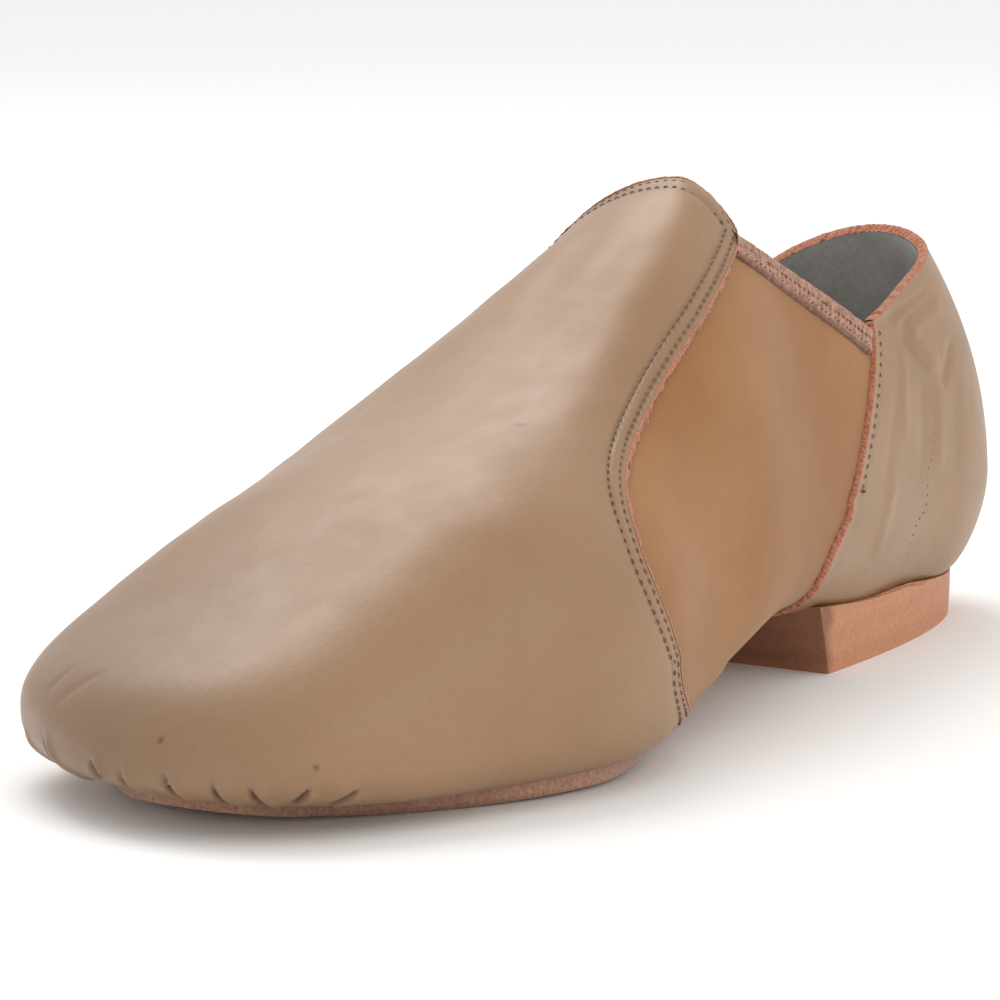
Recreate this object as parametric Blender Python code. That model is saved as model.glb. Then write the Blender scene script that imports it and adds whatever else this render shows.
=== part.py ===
"""Slip-on split-sole jazz shoe for the right foot, standing empty on its sole and heel.

Metres, +Z up, floor at z = 0. The toe points to -Y and the inner (medial) side of the foot is +X.
The upper is worked out as closed sections across the last, from the toe to the back of the heel.
Vamp and quarter stand proud of the stretch gore between them, which also wraps under the arch.
"""

import math

import bmesh
import bpy
import numpy as np

# Sizes of the last
LENGTH = 0.245
BALL_WIDTH = 0.093
SEAT_WIDTH = 0.060
INSTEP_HEIGHT = 0.102
COLLAR_HEIGHT = 0.0742
CORNER_HEIGHT = INSTEP_HEIGHT * 0.7725
DIP_HEIGHT = 0.0608
ARCH_RISE = 0.0085
TOE_TIP_HEIGHT = 0.0089
TOE_TIP_SHIFT = -0.0004
TOE_CAP = 0.039
HEEL_CAP = 0.037
BACK_LEAN = 0.0230
BACK_CURVE = 1.88
BACK_TUCK = 0.0083
BACK_BULGE_HEIGHT = 0.027
SEAT_TAPER = 0.15
COLLAR_DROP = 0.0215

# Sizes of the pieces
WALL = 0.0020
PANEL_STEP = 0.0007
SOLE_THICKNESS = 0.0022
SOLE_EDGE_LIFT = 0.0004
TOE_SPRING = 0.0023
HEEL_HEIGHT = 0.0078
HEEL_LENGTH = 0.0802
HEEL_WIDTH = 0.0562
HEEL_SETBACK = 0.0075
BREAST_RAKE = 0.0044
HEEL_TAPER = 0.0006
HEEL_RIM = 0.0026
INSOLE_THICKNESS = 0.0015
LASTING_MARGIN = 0.009
BINDING_DEPTH = 0.0040
BINDING_THICKNESS = 0.0008
FIT = 0.0003
CUT_BEYOND = 0.004

# Sections from the toe to the waist: share of LENGTH from the toe, half widths, ridge offset (shares of
# BALL_WIDTH), lift (share of ARCH_RISE), crown (share of INSTEP_HEIGHT), height of the widest
# point (share of the section's height) and how square the section is above and below that point
FOREPART = (
    # at    medial lateral ridge  lift   crown  widest upper  lower
    (0.00, 0.355, 0.384, 0.040, 0.12, 0.300, 0.46, 2.00, 3.0),
    (0.10, 0.366, 0.476, 0.140, 0.05, 0.314, 0.37, 2.10, 3.6),
    (0.20, 0.452, 0.457, 0.180, 0.00, 0.445, 0.34, 2.20, 4.6),
    (0.30, 0.505, 0.489, 0.172, 0.00, 0.527, 0.32, 2.10, 4.8),
    (0.40, 0.441, 0.495, 0.184, 0.28, 0.642, 0.28, 2.00, 4.0),
    (0.50, 0.415, 0.376, 0.166, 0.85, 0.820, 0.22, 1.85, 3.0),
    (0.60, 0.356, 0.357, 0.085, 1.00, 0.930, 0.20, 1.82, 3.2),
)
# Sections of the heel: half widths and ridge offset are shares of SEAT_WIDTH, the lift is a share of
# HEEL_HEIGHT and the crown, which the collar cuts off, a share of COLLAR_HEIGHT
BACKPART = (
    # at    medial lateral ridge  lift   crown  widest upper  lower
    (0.66, 0.517, 0.555, 0.03, 1.20, 1.355, 0.23, 2.00, 5.0),
    (0.72, 0.500, 0.550, 0.02, 1.05, 1.355, 0.25, 2.00, 8.0),
    (0.80, 0.483, 0.533, 0.00, 0.98, 1.355, 0.26, 2.00, 9.0),
    (0.90, 0.484, 0.545, 0.00, 0.93, 1.355, 0.26, 2.00, 9.0),
    (1.00, 0.484, 0.530, 0.00, 0.90, 1.355, 0.26, 2.00, 9.0),
)
# Edge of the vamp on one side: angle round the section from its ridge, and share of LENGTH
VAMP_EDGE_MEDIAL = (
    (29, 0.600), (33, 0.545), (34.5, 0.500), (34.5, 0.465), (33.5, 0.430), (33.5, 0.395), (35, 0.360),
    (37, 0.338), (40.5, 0.320), (44.5, 0.308), (50, 0.300), (57, 0.294), (65, 0.293), (72, 0.298),
    (79, 0.304), (86, 0.314), (92, 0.324), (99, 0.334), (110, 0.350), (125, 0.375), (150, 0.405),
    (180, 0.415),
)
# The same edge on the outer side, where the last is fuller and the vamp reaches lower
VAMP_EDGE_LATERAL = (
    (30, 0.600), (36, 0.545), (45, 0.530), (54, 0.505), (60, 0.470), (62.5, 0.430), (64, 0.390),
    (66, 0.355), (69, 0.330), (73, 0.315), (78, 0.308), (84, 0.310), (91, 0.320), (99, 0.335),
    (109, 0.352), (125, 0.375), (150, 0.405), (180, 0.415),
)
# Front edge of the quarter, read the same way
QUARTER_EDGE = (
    (50, 0.715), (63, 0.725), (67, 0.726), (71, 0.721), (75, 0.713), (79, 0.704), (83, 0.694),
    (87, 0.683), (89, 0.677), (90, 0.671), (90.4, 0.664), (91.2, 0.657), (92.5, 0.650), (95, 0.642),
    (100, 0.633), (107, 0.625), (118, 0.618), (136, 0.615), (180, 0.612),
)
# Forefoot sole: share of LENGTH, and share of the section's half width
SOLE_OUTLINE = (
    (0.050, 0.03), (0.052, 0.15), (0.056, 0.25), (0.064, 0.35), (0.078, 0.44), (0.096, 0.51), (0.115, 0.59),
    (0.140, 0.67), (0.175, 0.76), (0.210, 0.82), (0.263, 0.845), (0.320, 0.82), (0.373, 0.79), (0.430, 0.77),
)


def colour(hex_code):
    """An sRGB hex code as linear red, green and blue."""
    parts = [int(hex_code[i:i + 2], 16) / 255 for i in (0, 2, 4)]
    return [p / 12.92 if p <= 0.04045 else ((p + 0.055) / 1.055) ** 2.4 for p in parts]


def material(name, hex_code, roughness):
    made = bpy.data.materials.new(name)
    made.use_nodes = True
    shader = made.node_tree.nodes["Principled BSDF"]
    shader.inputs["Base Color"].default_value = colour(hex_code) + [1.0]
    shader.inputs["Roughness"].default_value = roughness
    return made


def sections():
    """The two section tables as one, in metres, with columns at, medial, lateral, ridge, bottom, waist,
    crown, upper and lower."""
    rows = []
    front_base = SOLE_THICKNESS + FIT
    for at, medial, lateral, ridge, lift, crown, widest, upper, lower in FOREPART:
        bottom = front_base + lift * ARCH_RISE
        top = crown * INSTEP_HEIGHT
        waist = bottom + widest * (top - bottom)
        sides = (medial * BALL_WIDTH, lateral * BALL_WIDTH, ridge * BALL_WIDTH)
        rows.append((at, *sides, bottom, waist, top, upper, lower))
    for at, medial, lateral, ridge, lift, crown, widest, upper, lower in BACKPART:
        bottom = FIT + lift * HEEL_HEIGHT
        top = crown * COLLAR_HEIGHT
        waist = bottom + widest * (top - bottom)
        sides = (medial * SEAT_WIDTH, lateral * SEAT_WIDTH, ridge * SEAT_WIDTH)
        rows.append((at, *sides, bottom, waist, top, upper, lower))
    return np.array(rows)


def spline(x, y, where):
    """Natural cubic spline through the points (x, y)."""
    count = len(x)
    step = np.diff(x)
    left = np.eye(count)
    right = np.zeros(count)
    for i in range(1, count - 1):
        left[i, i - 1:i + 2] = step[i - 1], 2 * (step[i - 1] + step[i]), step[i]
        right[i] = 6 * ((y[i + 1] - y[i]) / step[i] - (y[i] - y[i - 1]) / step[i - 1])
    bend = np.linalg.solve(left, right)
    k = np.clip(np.searchsorted(x, where) - 1, 0, count - 2)
    a = (x[k + 1] - where) / step[k]
    b = (where - x[k]) / step[k]
    curve = ((a ** 3 - a) * bend[k] + (b ** 3 - b) * bend[k + 1]) * step[k] ** 2 / 6
    return a * y[k] + b * y[k + 1] + curve


TABLE = sections()


def section_values(at):
    """Half widths, ridge, bottom, waist, crown and squareness at a share of the length, with both ends
    rounded in: the toe to a point, the heel to an upright line."""
    medial, lateral, ridge, bottom, waist, crown, upper, lower = (
        spline(TABLE[:, 0], TABLE[:, k], at) for k in range(1, 9)
    )
    from_toe = np.clip(at * LENGTH / TOE_CAP, 0, 1)
    toe = np.sqrt(1 - (1 - from_toe) ** 2.4)
    from_heel = np.clip((1 - at) * LENGTH / HEEL_CAP, 0, 1)
    heel = np.sqrt(1 - (1 - from_heel) ** 2.2)
    inner = (TOE_TIP_SHIFT + (medial - TOE_TIP_SHIFT) * toe) * heel
    outer = (TOE_TIP_SHIFT - (lateral + TOE_TIP_SHIFT) * toe) * heel
    ridge = (TOE_TIP_SHIFT + (ridge - TOE_TIP_SHIFT) * toe) * heel
    bottom, waist, crown = (TOE_TIP_HEIGHT + (v - TOE_TIP_HEIGHT) * toe for v in (bottom, waist, crown))
    return inner, outer, ridge, bottom, waist, crown, upper, lower


def back_shift(at, z):
    """How far the heel's profile leans forward above its bulge and tucks in below it.

    The lean stops growing just above the collar, where the form is cut away."""
    ease = np.clip((at - 0.72) / 0.28, 0, 1)
    ease = ease * ease * (3 - 2 * ease)
    above = np.clip((z - BACK_BULGE_HEIGHT) / (COLLAR_HEIGHT - BACK_BULGE_HEIGHT), 0, 1.15)
    below = np.clip(BACK_BULGE_HEIGHT - z, 0, None) / (BACK_BULGE_HEIGHT - HEEL_HEIGHT)
    return ease * (BACK_LEAN * above ** BACK_CURVE + BACK_TUCK * below ** 2)


def seat_taper(at, z):
    """Share of its width that the heel keeps as it draws in below its bulge, towards the heel block."""
    ease = np.clip((at - 0.60) / 0.20, 0, 1)
    below = np.clip(BACK_BULGE_HEIGHT - z, 0, None) / (BACK_BULGE_HEIGHT - HEEL_HEIGHT)
    return 1 - SEAT_TAPER * ease * ease * (3 - 2 * ease) * below ** 1.6


def last(at, angle):
    """Points of the upper's outside, at a share of the length and an angle round from the ridge.

    Each section is four superellipse quarters that meet at its ridge, widest points and bottom."""
    inner, outer, ridge, bottom, waist, crown, upper, lower = section_values(at)
    s, c = np.sin(angle), np.cos(angle)
    power = 2 / np.where(c >= 0, upper, lower)
    across = np.sign(s) * np.abs(s) ** power
    up = np.sign(c) * np.abs(c) ** power
    x = ridge + np.where(s >= 0, inner - ridge, ridge - outer) * across
    z = waist + np.where(c >= 0, crown - waist, waist - bottom) * up
    x = x * seat_taper(at, z)
    y = (at - 0.5) * LENGTH - back_shift(at, z)
    return np.stack([x, y, z], -1)


def outward(points, closed=True):
    """Unit normals of a grid of points, by differences along its rows and round its columns."""
    along = np.gradient(points, axis=0)
    if closed:
        around = np.roll(points, -1, axis=1) - np.roll(points, 1, axis=1)
    else:
        around = np.gradient(points, axis=1)
    normal = np.cross(around, along)
    return normal / np.maximum(np.linalg.norm(normal, axis=-1, keepdims=True), 1e-12)


def underside(x, y):
    """Height of the upper's outside below its widest line, at plan position (x, y)."""
    at = y / LENGTH + 0.5
    z = np.zeros_like(x) + HEEL_HEIGHT
    for _ in range(12):
        inner, outer, ridge, bottom, waist, _, _, lower = section_values(np.clip(at, 0, 1))
        full = x / seat_taper(at, z)
        side = np.where(full >= ridge, inner - ridge, ridge - outer)
        across = np.clip(np.abs(full - ridge) / np.maximum(side, 1e-6), 0, 0.999)
        z = waist - (waist - bottom) * (1 - across ** lower) ** (1 / lower)
        at = (y + back_shift(at, z)) / LENGTH + 0.5
    return z


def mesh_object(name, vertices, faces, look, collection):
    """A mesh object from points and faces, its doubles merged and its faces turned outwards."""
    mesh = bpy.data.meshes.new(name)
    mesh.from_pydata([tuple(v) for v in vertices], [], faces)
    work = bmesh.new()
    work.from_mesh(mesh)
    bmesh.ops.remove_doubles(work, verts=work.verts, dist=1e-6)
    bmesh.ops.recalc_face_normals(work, faces=work.faces)
    if work.calc_volume(signed=True) < 0:
        bmesh.ops.reverse_faces(work, faces=work.faces)
    work.to_mesh(mesh)
    work.free()
    made = bpy.data.objects.new(name, mesh)
    if look:
        mesh.materials.append(look)
        mesh.shade_smooth()
        mesh.set_sharp_from_angle(angle=math.radians(40))
    else:
        made.hide_render = True
        made.display_type = "WIRE"
    collection.objects.link(made)
    return made


def grid_faces(rows, columns, start=0, wrap=False):
    """Quads between neighbouring points of a grid that is stored row by row."""
    last_column = columns if wrap else columns - 1
    return [
        (
            start + i * columns + j,
            start + i * columns + (j + 1) % columns,
            start + (i + 1) * columns + (j + 1) % columns,
            start + (i + 1) * columns + j,
        )
        for i in range(rows - 1)
        for j in range(last_column)
    ]


def block(name, top, bottom, look, collection):
    """A closed solid between two grids of the same size, joined round their borders."""
    rows, columns = top.shape[:2]
    count = rows * columns
    border = [j for j in range(columns)]
    border += [i * columns + columns - 1 for i in range(1, rows)]
    border += [(rows - 1) * columns + j for j in range(columns - 2, -1, -1)]
    border += [i * columns for i in range(rows - 2, 0, -1)]
    faces = grid_faces(rows, columns) + grid_faces(rows, columns, count)
    faces += [
        (border[k], border[(k + 1) % len(border)], border[(k + 1) % len(border)] + count, border[k] + count)
        for k in range(len(border))
    ]
    points = np.concatenate([top.reshape(-1, 3), bottom.reshape(-1, 3)])
    return mesh_object(name, points, faces, look, collection)


def stations(toe_steps, middle_step, heel_steps):
    """Shares of the length, closer together where the toe and the heel round in."""
    toe_end = TOE_CAP / LENGTH
    heel_start = 1 - HEEL_CAP / LENGTH
    toe = toe_end * (1 - np.cos(np.linspace(0, math.pi / 2, toe_steps + 1)))
    middle = np.linspace(toe_end, heel_start, max(2, round((heel_start - toe_end) / middle_step)) + 1)[1:-1]
    heel = heel_start + (1 - heel_start) * np.sin(np.linspace(0, math.pi / 2, heel_steps + 1))
    return np.concatenate([toe, middle, heel])


def last_form(name, inset, around, along, collection):
    """The closed form of the last, taken in everywhere by the inset along its normals."""
    at = stations(*along)
    angle = np.linspace(0, 2 * math.pi, around, endpoint=False)
    angle = np.where(angle > math.pi, angle - 2 * math.pi, angle)
    grid_at, grid_angle = np.meshgrid(at, angle, indexing="ij")
    points = last(grid_at, grid_angle)
    normal = outward(points)
    mirror = (-np.arange(around)) % around
    normal[0] = normal[1].mean(axis=0)
    normal[-1] += normal[-1][mirror]
    for column in (0, around // 2):
        normal[-1, column] = normal[-1, column - 1] + normal[-1, column + 1] + normal[-2, column]
    normal /= np.linalg.norm(normal, axis=-1, keepdims=True)
    points = points - normal * inset
    points[-1] = (points[-1] + points[-1][mirror]) / 2
    return mesh_object(name, points.reshape(-1, 3), grid_faces(len(at), around, wrap=True), None, collection)


def cut(target, cutter):
    """An exact Boolean difference on the target."""
    modifier = target.modifiers.new("cut by " + cutter.name, "BOOLEAN")
    modifier.operation = "DIFFERENCE"
    modifier.solver = "EXACT"
    modifier.object = cutter


def collar_line():
    """Side view of the collar: (y, z) down the edge of the vamp's tongue, along the gore's top edge to its
    dip, and up the quarter to the back."""
    shares = (
        (0.534, INSTEP_HEIGHT * 1.30),
        (0.541, INSTEP_HEIGHT * 0.98),
        (0.545, INSTEP_HEIGHT * 0.88),
        (0.559, CORNER_HEIGHT),
        (0.708, DIP_HEIGHT),
    )
    points = [((at - 0.5) * LENGTH, z) for at, z in shares]
    rise = np.linspace(0, 1, 9)[1:]
    back = 0.932
    at = 0.708 + (back - 0.708) * rise
    z = DIP_HEIGHT + (COLLAR_HEIGHT - DIP_HEIGHT) * np.sin(rise * math.pi / 2) ** 1.65
    points += list(zip((at - 0.5) * LENGTH, z))
    return points + [(0.6 * LENGTH, COLLAR_HEIGHT)]


def collar_drop(x, y):
    """How much lower the soft collar lies towards the back of the outer side."""
    outwards = np.clip((SEAT_WIDTH / 2 - x) / SEAT_WIDTH, 0, 1)
    back = np.clip((y / LENGTH - 0.204) / 0.212, 0, 1.2)
    return COLLAR_DROP * outwards ** 4 * back ** 1.2


def collar_cutter(collection):
    """Everything above the collar line, as an outline carried across the shoe, lower on the outer side."""
    line = np.array(collar_line())
    top = INSTEP_HEIGHT * 1.6
    line = np.concatenate([line, [(line[-1, 0], top), (line[0, 0], top)]])
    across = np.concatenate([[-BALL_WIDTH], np.linspace(-SEAT_WIDTH * 0.6, SEAT_WIDTH * 0.5, 12), [BALL_WIDTH]])
    x, y = np.meshgrid(across, line[:, 0], indexing="ij")
    z = line[:, 1] - np.where(line[:, 1] < top, 1, 0) * collar_drop(x, y)
    count = len(line)
    points = np.stack([x, y, z], -1).reshape(-1, 3)
    faces = grid_faces(len(across), count, wrap=True)
    start = (len(across) - 1) * count
    faces += [tuple(range(count)), tuple(range(start + count - 1, start - 1, -1))]
    return mesh_object("collar cutter", points, faces, None, collection)


def edge_points(medial, lateral, count):
    """A seam from the medial collar round under the foot to the lateral collar, as angles and shares."""
    sides = []
    for table in (medial, lateral):
        rows = np.array(table)
        way = np.concatenate([[0], np.cumsum(np.hypot(np.diff(rows[:, 0]) / 100, np.diff(rows[:, 1])))])
        even = np.linspace(0, way[-1], count)
        sides.append((np.radians(np.interp(even, way, rows[:, 0])), np.interp(even, way, rows[:, 1])))
    (angle_in, at_in), (angle_out, at_out) = sides
    angle = np.concatenate([angle_in, 2 * math.pi - angle_out[-2::-1]])
    return angle, np.concatenate([at_in, at_out[-2::-1]])


def gore_recess(collection):
    """The band between vamp and quarter, from above the surface down to the step's depth."""
    rows, half_columns = 12, 26
    vamp_angle, vamp_at = edge_points(VAMP_EDGE_MEDIAL, VAMP_EDGE_LATERAL, half_columns)
    quarter_angle, quarter_at = edge_points(QUARTER_EDGE, QUARTER_EDGE, half_columns)
    across = np.linspace(0, 1, rows)[:, None]
    at = vamp_at + (quarter_at - vamp_at) * across
    angle = vamp_angle + (quarter_angle - vamp_angle) * across
    surface = last(at, np.where(angle > math.pi, angle - 2 * math.pi, angle))
    normal = outward(surface, closed=False)
    if np.einsum("ijk,ijk->", normal, surface - surface.mean(axis=(0, 1))) < 0:
        normal = -normal
    proud = surface + normal * CUT_BEYOND
    deep = surface - normal * PANEL_STEP
    return block("gore recess", proud, deep, None, collection)


def plan_outline(table, count):
    """Stations along a sole outline, with the section's middle and half width there."""
    rows = np.array(table)
    spread = (1 - np.cos(np.linspace(0, math.pi / 2, count))) ** 0.75
    at = rows[0, 0] + (rows[-1, 0] - rows[0, 0]) * spread
    share = np.interp(at, rows[:, 0], rows[:, 1])
    inner, outer = section_values(at)[:2]
    return (at - 0.5) * LENGTH, (inner + outer) / 2, share * (inner - outer) / 2


def plan_grid(y, middle, half, columns):
    """A grid across a plan outline, its columns closer together near both edges."""
    across = np.sin(np.linspace(-1, 1, columns) * math.pi / 2)
    x = middle[:, None] + half[:, None] * across
    return x, np.repeat(y[:, None], columns, axis=1)


def sole_patch(look, collection):
    """The forefoot sole: its top follows the upper, and it lies flat on the floor under the ball."""
    y, middle, half = plan_outline(SOLE_OUTLINE, 22)
    x, y = plan_grid(y, middle, half, 17)
    top = underside(x, y) - FIT
    bottom = np.maximum(top - SOLE_THICKNESS - SOLE_EDGE_LIFT, 0)
    at = y / LENGTH + 0.5
    bottom = np.maximum(bottom, TOE_SPRING * np.clip((0.12 - at) / 0.07, 0, 1) ** 1.5)
    bottom = np.minimum(bottom, top - SOLE_THICKNESS / 3)
    return block("outsole_forefoot", np.stack([x, y, top], -1), np.stack([x, y, bottom], -1), look, collection)


def heel_outline(front, inset, count):
    """Rows from the breast to the back: y and half width of a superellipse whose sides taper."""
    back = LENGTH / 2 - HEEL_SETBACK - inset
    turn = np.linspace(0, math.pi / 2, count)
    y = front + (back - front) * np.sin(turn) ** (2 / 2.2)
    half = (HEEL_WIDTH / 2 - inset) * np.cos(turn) ** (2 / 3)
    return y, half


def heel_block(look, collection):
    """The low heel: flat below, raked at the breast, and cupped above to follow the heel seat."""
    front = LENGTH / 2 - HEEL_SETBACK - HEEL_LENGTH
    grids = []
    for y, half in (heel_outline(front, 0, 15), heel_outline(front + BREAST_RAKE, HEEL_TAPER, 15)):
        grids.append(plan_grid(y, np.zeros_like(y), half, 15))
    (x, y), (floor_x, floor_y) = grids
    seat = section_values(np.minimum(y / LENGTH + 0.5, 1))[3]
    rim = HEEL_RIM * np.clip((LENGTH / 2 - BACK_TUCK * 1.3 - y) / HEEL_CAP, 0, 1)
    top = np.stack([x, y, np.minimum(underside(x, y), seat + rim) - FIT], -1)
    bottom = np.stack([floor_x, floor_y, np.zeros_like(floor_x)], -1)
    return block("heel", top, bottom, look, collection)


def insole(look, collection):
    """The sock inside the shoe, lying on the upper's floor from toe to heel."""
    at = np.linspace(0.055, 0.948, 30)
    inner, outer, _, _, _, _, _, lower = section_values(at)
    share = np.where(at < 0.6, 0.74, 0.74 + 0.10 * np.clip((at - 0.6) / 0.1, 0, 1))
    ends = np.clip(np.minimum((at - 0.045) / 0.06, (0.968 - at) / 0.05), 0, 1) ** 0.5
    taper = seat_taper(at, HEEL_HEIGHT)
    half = (share * taper * (inner - outer) / 2 - WALL) * ends
    x, y = plan_grid((at - 0.5) * LENGTH, taper * (inner + outer) / 2, half, 11)
    bottom = underside(x, y) + WALL + 2 * FIT
    top = bottom + INSOLE_THICKNESS
    return block("insole", np.stack([x, y, top], -1), np.stack([x, y, bottom], -1), look, collection)


def bottom_opening(name, y, middle, half, collection):
    """A cutter through the upper's floor inside an outline, which leaves the lasted margin."""
    x, y = plan_grid(y, middle, half, 9)
    top = underside(x, y) + WALL * 1.8
    bottom = np.full_like(x, -CUT_BEYOND)
    return block(name, np.stack([x, y, top], -1), np.stack([x, y, bottom], -1), None, collection)


def openings(collection):
    """Cutters for the two openings that the forefoot sole and the heel close."""
    y, middle, half = plan_outline(SOLE_OUTLINE, 16)
    keep = (half > LASTING_MARGIN * 1.4) & (y < y[-1] - LASTING_MARGIN)
    forefoot = bottom_opening("forefoot opening", y[keep], middle[keep], half[keep] - LASTING_MARGIN, collection)
    front = LENGTH / 2 - HEEL_SETBACK - HEEL_LENGTH + LASTING_MARGIN
    y, half = heel_outline(front, LASTING_MARGIN, 12)
    seat = bottom_opening("heel opening", y[:-1], np.zeros_like(y)[:-1], half[:-1], collection)
    return forefoot, seat


def upper(look, parts, cutters):
    """One hollow wall: the last's form, less its inside, the collar, the openings and the gore's step."""
    shell = last_form("upper", 0, 44, (8, 0.032, 7), parts)
    shell.hide_render = False
    shell.display_type = "TEXTURED"
    shell.data.materials.append(look)
    shell.data.shade_smooth()
    inside = last_form("inside of the last", WALL, 44, (7, 0.030, 6), cutters)
    for cutter in (inside, collar_cutter(cutters), gore_recess(cutters), *openings(cutters)):
        cut(shell, cutter)
    return shell


def gore_top_edge(side, count):
    """Points on the wall's outside along the gore's top edge, with level outward and downward directions.

    The collar is cut level across the shoe, so the outward ones are level and reach the wall's own depth."""
    line = np.array(collar_line())
    start, end = line[3], line[4]
    inset_start, inset_end = 0.045, 0.025
    share = np.linspace(inset_start, 1 - inset_end, count)
    y = start[0] + (end[0] - start[0]) * share
    z = start[1] + (end[1] - start[1]) * share
    angle = np.radians(np.linspace(1, 90, 300))
    points, lower = [], []
    for target_y, target_z in zip(y, z):
        at = target_y / LENGTH + 0.5
        for _ in range(4):
            ring = last(np.full_like(angle, at), side * angle)
            found = np.array([np.interp(-target_z, -ring[:, 2], ring[:, i]) for i in range(3)])
            at += (target_y - found[1]) / LENGTH
        away = np.linalg.norm(ring - found, axis=1) * np.sign(found[2] - ring[:, 2])
        points.append(found)
        lower.append([np.interp(BINDING_DEPTH * 1.2, away, ring[:, i]) for i in range(3)])
    points = np.array(points)
    along = np.gradient(points, axis=0)
    along /= np.linalg.norm(along, axis=1, keepdims=True)
    down = np.array(lower) - points
    down -= along * np.sum(down * along, axis=1, keepdims=True)
    down /= np.linalg.norm(down, axis=1, keepdims=True)
    out = np.cross(along, down)
    out *= np.sign(out[:, :1] * side)
    out /= np.linalg.norm(out, axis=1, keepdims=True)
    level = np.array([side, 0, 0]) / np.abs(out[:, :1])
    return points, level, down


def binding(name, side, look, collection):
    """A folded strip over the gore's top edge: a U carried along that edge, clear of the wall."""
    points, out, down = gore_top_edge(side, 14)
    face = -PANEL_STEP + FIT
    back = -WALL - 2 * FIT
    skin = BINDING_THICKNESS
    clear = FIT * 1.5
    profile = (
        (face, BINDING_DEPTH), (face + skin, BINDING_DEPTH), (face + skin, -clear), (face, -clear - skin),
        (back, -clear - skin), (back - skin, -clear), (back - skin, BINDING_DEPTH), (back, BINDING_DEPTH),
        (back, -clear), (face, -clear),
    )
    count = len(profile)
    vertices = np.concatenate([points + out * a + down * b for a, b in profile])
    order = np.arange(count * len(points)).reshape(count, len(points)).T.ravel()
    vertices = vertices[order]
    faces = grid_faces(len(points), count, wrap=True)
    start = (len(points) - 1) * count
    ends = ((0, 1, 2, 9), (9, 2, 3, 4), (9, 4, 5, 8), (8, 5, 6, 7))
    faces += [tuple(reversed(f)) for f in ends] + [tuple(start + k for k in f) for f in ends]
    return mesh_object(name, vertices, faces, look, collection)


def main():
    for old in list(bpy.data.objects):
        bpy.data.objects.remove(old, do_unlink=True)
    parts = bpy.data.collections.new("jazz shoe")
    cutters = bpy.data.collections.new("cutters")
    for group in (parts, cutters):
        bpy.context.scene.collection.children.link(group)
    upper(material("tan leather", "AD8868", 0.42), parts, cutters)
    sole_patch(material("sole suede", "B98468", 0.85), parts)
    heel_block(material("heel leather", "C58A6A", 0.55), parts)
    insole(material("grey sock lining", "8C8B86", 0.9), parts)
    trim = material("gore binding", "C79C86", 0.8)
    binding("binding_medial", 1, trim, parts)
    binding("binding_lateral", -1, trim, parts)


main()
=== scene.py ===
"""Looks of the slip-on jazz shoe: leather vamp and quarter, stretch gore, raw edges, stitching, lining,
suede sole patch and heel, worked out from the same sections as the solids and placed around them."""

import math

import bmesh
import bpy
import numpy as np
from mathutils import Matrix


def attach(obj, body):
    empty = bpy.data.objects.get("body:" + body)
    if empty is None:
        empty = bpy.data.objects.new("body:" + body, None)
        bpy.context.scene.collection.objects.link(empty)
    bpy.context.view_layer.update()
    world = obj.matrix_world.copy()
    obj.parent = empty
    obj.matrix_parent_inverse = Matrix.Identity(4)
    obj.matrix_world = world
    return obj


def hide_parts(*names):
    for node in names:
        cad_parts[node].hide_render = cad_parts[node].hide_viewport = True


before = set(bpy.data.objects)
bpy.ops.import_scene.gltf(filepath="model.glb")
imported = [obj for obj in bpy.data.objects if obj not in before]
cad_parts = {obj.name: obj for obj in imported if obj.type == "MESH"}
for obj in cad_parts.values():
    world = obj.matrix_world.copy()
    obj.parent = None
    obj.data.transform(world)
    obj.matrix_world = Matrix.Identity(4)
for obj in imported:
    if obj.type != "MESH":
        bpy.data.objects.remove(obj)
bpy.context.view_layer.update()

# Sizes of the last and of what is put on it, as the solids have them, in metres
LENGTH = 0.245
BALL_WIDTH = 0.093
SEAT_WIDTH = 0.060
INSTEP_HEIGHT = 0.102
COLLAR_HEIGHT = 0.0742
CORNER_HEIGHT = INSTEP_HEIGHT * 0.7725
DIP_HEIGHT = 0.0608
ARCH_RISE = 0.0085
TOE_TIP_HEIGHT = 0.0089
TOE_TIP_SHIFT = -0.0004
TOE_CAP = 0.039
HEEL_CAP = 0.037
BACK_LEAN = 0.0230
BACK_CURVE = 1.88
BACK_TUCK = 0.0083
BACK_BULGE_HEIGHT = 0.027
SEAT_TAPER = 0.15
COLLAR_DROP = 0.0215
WALL = 0.0020
PANEL_STEP = 0.0007
SOLE_THICKNESS = 0.0022
SOLE_EDGE_LIFT = 0.0004
TOE_SPRING = 0.0023
HEEL_HEIGHT = 0.0078
HEEL_LENGTH = 0.0802
HEEL_WIDTH = 0.0562
HEEL_SETBACK = 0.0075
HEEL_RIM = 0.0026
BREAST_RAKE = 0.0044
HEEL_TAPER = 0.0006
INSOLE_THICKNESS = 0.0015
BINDING_DEPTH = 0.0040
FIT = 0.0003

# Powers of the rounding in plan at the toe, the heel, and the heel block's outline
TOE_ROUNDING = 2.4
HEEL_ROUNDING = 2.2
BLOCK_BACK_POWER = 2 / 2.2
BLOCK_SIDE_POWER = 2 / 3

# Shares of the length where the back starts to lean and the seat starts to draw in, and how far each grows
LEAN_START = 0.72
LEAN_SPAN = 0.28
LEAN_LIMIT = 1.15
TAPER_START = 0.60
TAPER_SPAN = 0.20
TAPER_POWER = 1.6

# The collar line: shares of the length at the gore's low end and at the back, and the power of its rise
DIP_AT = 0.708
BACK_AT = 0.932
COLLAR_RISE_POWER = 1.65

# Shares of the length from which and over which the outer side's collar drops and the toe of the sole rises
DROP_START = 0.204
DROP_SPAN = 0.212
SPRING_END = 0.12
SPRING_SPAN = 0.07

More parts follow.
